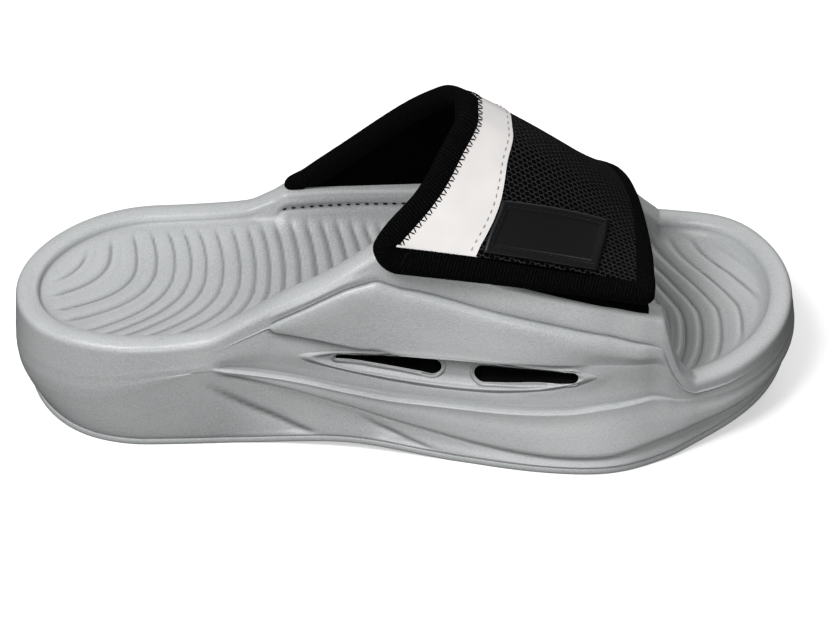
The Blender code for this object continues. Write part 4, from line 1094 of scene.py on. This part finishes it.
seamShare = strap["seamGap"] / (sole["length"] * 0.2)
makeStrapCore()
makeTape()
makePanel("meshPanel", "black_mesh", meshLook, 90, lambda run: (wedge(run) - seamShare * 4, np.ones_like(run)),
          "mesh_panel", strap["tape"], 0.35 * mm)
makePanel("stripePanel", "pale_leather", leatherLook, 40, lambda run: (np.zeros_like(run), wedge(run) + seamShare),
          "stripe_panel", strap["tape"], -0.12 * mm)
print("strap made")


# Short outer strap under the flap

under = {"breadth": (0.18, 0.985), "run": (0.68, 0.76, 0.84, 0.92), "columns": 60}


def makeUnderStrap():
    close = 2 * strap["tape"] + strap["core"] + 3 * strap["layerGap"] + strap["under"] / 2
    parts = np.linspace(*under["breadth"], under["columns"])
    rows = []
    for run, more in zip(under["run"], (0, 0, 0, 0.5 * mm)):
        rows.append(strapPoint(np.full(parts.shape, run), parts, np.full(parts.shape, close + more)))
    x = strapFace(np.ones_like(parts), parts)[:, 0]
    share = shareAt(x)
    y = outlineY(share, outerSide) + crestInset(share, outerSide) + strap["outerLip"] + strap["under"] / 2
    crest = crestHeight(share, outerSide)
    for drop in (-mm, 0.5 * strap["slotDepth"], strap["slotDepth"]):
        rows.append(np.stack((x, y, crest - drop), -1))
    points = refine(np.array(rows), [8, 8, 8, 12, 6, 4])
    made = gridObject("underStrap", points, liningLook, solid=strap["under"])
    return place(made, "black_lining", "strap_under")


makeUnderStrap()


# Label patch, left bare

# sizes in mm: down and across the patch, its flat frame, its row of stitches
label = {"down": 18.5, "across": 41, "frame": 2.5, "stitchInset": 2.1, "recess": 0.00045}


def labelPlace(u, v):
    # u runs down the patch, v across it
    corners = {name: np.array(value) for name, value in labelCorners.items()}
    u, v = u[..., None], v[..., None]
    rear = mixed(corners["rearTop"], corners["rearEnd"], u)
    front = mixed(corners["frontTop"], corners["frontEnd"], u)
    both = mixed(rear, front, v)
    return both[..., 0], both[..., 1]


def makeLabel():
    count = 90
    even = np.linspace(0, 1, count)
    u, v = np.meshgrid(even, even, indexing="ij")
    run, breadth = labelPlace(u, v)
    fromEdge = np.minimum(np.minimum(u, 1 - u) * label["down"], np.minimum(v, 1 - v) * label["across"])
    height = strap["label"] * (1 - 0.45 * np.exp(-fromEdge / 0.35))
    height -= label["recess"] * smoothStep(label["frame"], label["frame"] + 0.6, fromEdge)
    height -= 0.00025 * bumpAt(fromEdge - label["stitchInset"], 0.40)
    top = strapPoint(run, breadth, -sole["gap"] - height)
    bottom = strapPoint(run, breadth, np.full(run.shape, 0.1 * mm))
    made = gridObject("labelPatch", closedShell(top, bottom), rubberLook, closeColumns=True, weld=0.000005)
    fillEnds(made)
    made.data.set_sharp_from_angle(angle=math.radians(50))
    return place(made, "black_rubber", "label_patch")


makeLabel()


# Stitches

def stitchRow(name, line, outward, length, pitch, radius, material, slot, turn=0.0, rise=0.0):
    # short rounded threads laid along a line, each turned by an angle in the surface
    steps = np.linalg.norm(np.diff(line, axis=0), axis=1)
    lengths = np.concatenate(([0], np.cumsum(steps)))
    count = int(lengths[-1] / pitch)
    bm = bmesh.new()
    for k in range(count):
        where = (k + 0.5) * pitch
        ends = []
        for at in (where - 0.5 * mm, where, where + 0.5 * mm):
            at = min(max(at, 0), lengths[-1])
            ends.append(np.array([np.interp(at, lengths, line[:, axis]) for axis in range(3)]))
        normal = np.array([np.interp(where, lengths, outward[:, axis]) for axis in range(3)])
        normal /= np.linalg.norm(normal)
        ahead = ends[2] - ends[0]
        ahead /= np.linalg.norm(ahead)
        aside = np.cross(normal, ahead)
        swing = turn if not callable(turn) else turn(k)
        heading = ahead * math.cos(swing) + aside * math.sin(swing)
        across = np.cross(normal, heading)
        addThread(bm, ends[1] + normal * rise, heading, across, normal, length, radius)
    mesh = bpy.data.meshes.new(name)
    bm.to_mesh(mesh)
    bm.free()
    mesh.shade_smooth()
    mesh.materials.append(material)
    made = bpy.data.objects.new(name, mesh)
    bpy.context.scene.collection.objects.link(made)
    return place(made, slot)


def addThread(bm, middle, heading, across, normal, length, radius):
    rings = []
    for place, size in ((-0.5, 0.25), (-0.42, 0.8), (-0.2, 1.0), (0.2, 1.0), (0.42, 0.8), (0.5, 0.25)):
        sink = 0.55 * radius * (abs(place) * 2) ** 3
        centre = middle + heading * place * length - normal * sink
        rings.append([bm.verts.new(centre + (across * math.cos(a) + normal * math.sin(a)) * radius * size)
                      for a in np.linspace(0, 2 * math.pi, 8, endpoint=False)])
    for near, far in zip(rings, rings[1:]):
        for k in range(8):
            bm.faces.new((near[k], near[(k + 1) % 8], far[(k + 1) % 8], far[k]))
    bm.faces.new(rings[0][::-1])
    bm.faces.new(rings[-1])


# length, pitch and radius of each row's threads
stitches = {"stripe": (1.5 * mm, 3.0 * mm, 0.22 * mm), "label": (1.5 * mm, 2.3 * mm, 0.20 * mm),
            "zigzag": (2.2 * mm, 1.45 * mm, 0.22 * mm), "lip": (1.5 * mm, 3.4 * mm, 0.24 * mm)}


def makeStripeStitches():
    rear, front = sideSamples(False, 300, False), sideSamples(True, 300, False)
    rearRun, rearBreadth = rear.inset(strap["tapeWidth"])
    frontRun, frontBreadth = front.inset(strap["tapeWidth"])
    part = wedge(rear.run) - 0.024
    run, breadth = mixed(rearRun, frontRun, part), mixed(rearBreadth, frontBreadth, part)
    line = strapPoint(run, breadth, np.full(run.shape, -0.20 * mm))
    length, pitch, radius = stitches["stripe"]
    stitchRow("stripeStitches", line, strapSlopes(run, breadth)[2], length, pitch, radius, threadGrey, "pale_leather")


def makeTapeStitches():
    rear = sideSamples(False, 400, False)
    run, breadth = rear.inset(strap["tapeWidth"] + 0.35 * mm)
    keep = run < run.max() - 1e-6
    run, breadth = run[keep], breadth[keep]
    line = strapPoint(run, breadth, np.full(run.shape, -0.25 * mm))
    length, pitch, radius = stitches["zigzag"]
    outward = strapSlopes(run, breadth)[2]
    stitchRow("zigzagStitches", line, outward, length, pitch, radius, threadBlack, "black_tape",
              turn=lambda k: 1.15 if k % 2 else 2.0)


def makeLabelStitches():
    inU, inV = label["stitchInset"] / label["down"], label["stitchInset"] / label["across"]
    loop = [(inU, inV), (inU, 1 - inV), (1 - inU, 1 - inV), (1 - inU, inV), (inU, inV)]
    for index, ((u0, v0), (u1, v1)) in enumerate(zip(loop, loop[1:])):
        t = np.linspace(0, 1, 60)
        run, breadth = labelPlace(mixed(u0, u1, t), mixed(v0, v1, t))
        depth = -sole["gap"] - strap["label"] + 0.00016
        line = strapPoint(run, breadth, np.full(run.shape, depth))
        length, pitch, radius = stitches["label"]
        stitchRow("labelStitches%d" % index, line, strapSlopes(run, breadth)[2], length, pitch, radius,
                  threadBlackSheen, "black_rubber")


def makeLipStitches():
    share = np.linspace(0.335, 0.785, 300)
    crest = crestHeight(share, innerSide)
    width = footbedShares[0](share) * sole["rimWidth"]
    start = crestInset(share, innerSide)
    shoulder = crest - sole["rimShoulder"]
    floor = footbedEdge(share, innerSide)
    z = crest - lip["seamDrop"]
    part = (shoulder - z) / (0.62 * (shoulder - floor))
    inset = start + width + sole["cupWallRun"] * 0.35 * part
    x, y = planPoint(share, innerSide, inset)
    line = np.stack((x, y, z), -1)
    outward = np.tile(np.array((0.0, -0.85, 0.53)), (len(line), 1))
    length, pitch, radius = stitches["lip"]
    stitchRow("lipStitches", line, outward, length, pitch, radius, threadBlack, "grey_foam", rise=-0.0002)


makeStripeStitches()
makeTapeStitches()
makeLabelStitches()
makeLipStitches()
print("stitches made")


# Floor, light and camera

studio = {
    "floorSize": 30.0, "floor": 0.62, "floorGlow": 0.42, "sky": 0.34, "low": 0.03,
    # power, size and place of each soft light
    "lights": {"keyLight": (13.5, 0.50, (-0.48, -0.50, 1.16)), "frontLight": (5.8, 0.45, (-0.10, -1.30, 0.22)),
               "rearLight": (3.5, 0.7, (0.45, 1.05, 0.80))},
    "azimuth": 0.5, "elevation": 40.0, "distance": 1.2, "focalPixels": 3360.0,
    "target": (0.0028, -0.0215, 0.045), "imageWidth": 828,
}


def makeFloor():
    size = studio["floorSize"]
    mesh = bpy.data.meshes.new("floor")
    mesh.from_pydata([(-size, -size, 0), (size, -size, 0), (size, size, 0), (-size, size, 0)], [], [(0, 1, 2, 3)])
    floor = bpy.data.objects.new("floor", mesh)
    bpy.context.scene.collection.objects.link(floor)
    look = Shader("paleFloor", (studio["floor"],) * 3, 0.9, 0.1)
    look.set(("Emission Color", (1, 1, 1, 1)), ("Emission Strength", studio["floorGlow"]))
    mesh.materials.append(look.material)
    floor.visible_diffuse = False  # its white is for the picture, the shoe sees a dim studio
    floor.visible_glossy = False


def makeLight(name, power, size, where):
    light = bpy.data.lights.new(name, "AREA")
    light.energy = power
    light.size = size
    made = bpy.data.objects.new(name, light)
    made.location = where
    made.rotation_mode = "QUATERNION"
    made.rotation_quaternion = (Vector(where) - Vector((0, 0, 0.04))).to_track_quat("Z", "Y")
    bpy.context.scene.collection.objects.link(made)


def makeCamera():
    camera = bpy.data.cameras.new("camera")
    camera.sensor_width = 36
    camera.lens = studio["focalPixels"] / studio["imageWidth"] * 36
    camera.dof.use_dof = False
    azimuth, elevation = math.radians(studio["azimuth"]), math.radians(studio["elevation"])
    back = Vector((math.sin(azimuth) * math.cos(elevation), -math.cos(azimuth) * math.cos(elevation),
                   math.sin(elevation)))
    made = bpy.data.objects.new("camera", camera)
    made.location = Vector(studio["target"]) + back * studio["distance"]
    made.rotation_mode = "QUATERNION"
    made.rotation_quaternion = back.to_track_quat("Z", "Y")
    bpy.context.scene.collection.objects.link(made)
    bpy.context.scene.camera = made


def makeWorld():
    world = bpy.data.worlds.new("studio")
    world.use_nodes = True
    nodes, links = world.node_tree.nodes, world.node_tree.links
    height = nodes.new("ShaderNodeSeparateXYZ")
    links.new(nodes.new("ShaderNodeTexCoord").outputs["Generated"], height.inputs[0])
    grade = nodes.new("ShaderNodeMapRange")
    for key, number in zip(("From Min", "From Max", "To Min", "To Max"), (-0.15, 0.45, studio["low"], studio["sky"])):
        grade.inputs[key].default_value = number
    links.new(height.outputs["Z"], grade.inputs["Value"])
    links.new(grade.outputs["Result"], nodes["Background"].inputs["Strength"])
    nodes["Background"].inputs["Color"].default_value = (1, 1, 1, 1)
    bpy.context.scene.world = world
    bpy.context.scene.view_settings.view_transform = "Standard"
    bpy.context.scene.view_settings.look = "Medium High Contrast"


makeFloor()
makeWorld()
for name, (power, size, where) in studio["lights"].items():
    makeLight(name, power, size, where)
makeCamera()
print("studio made")
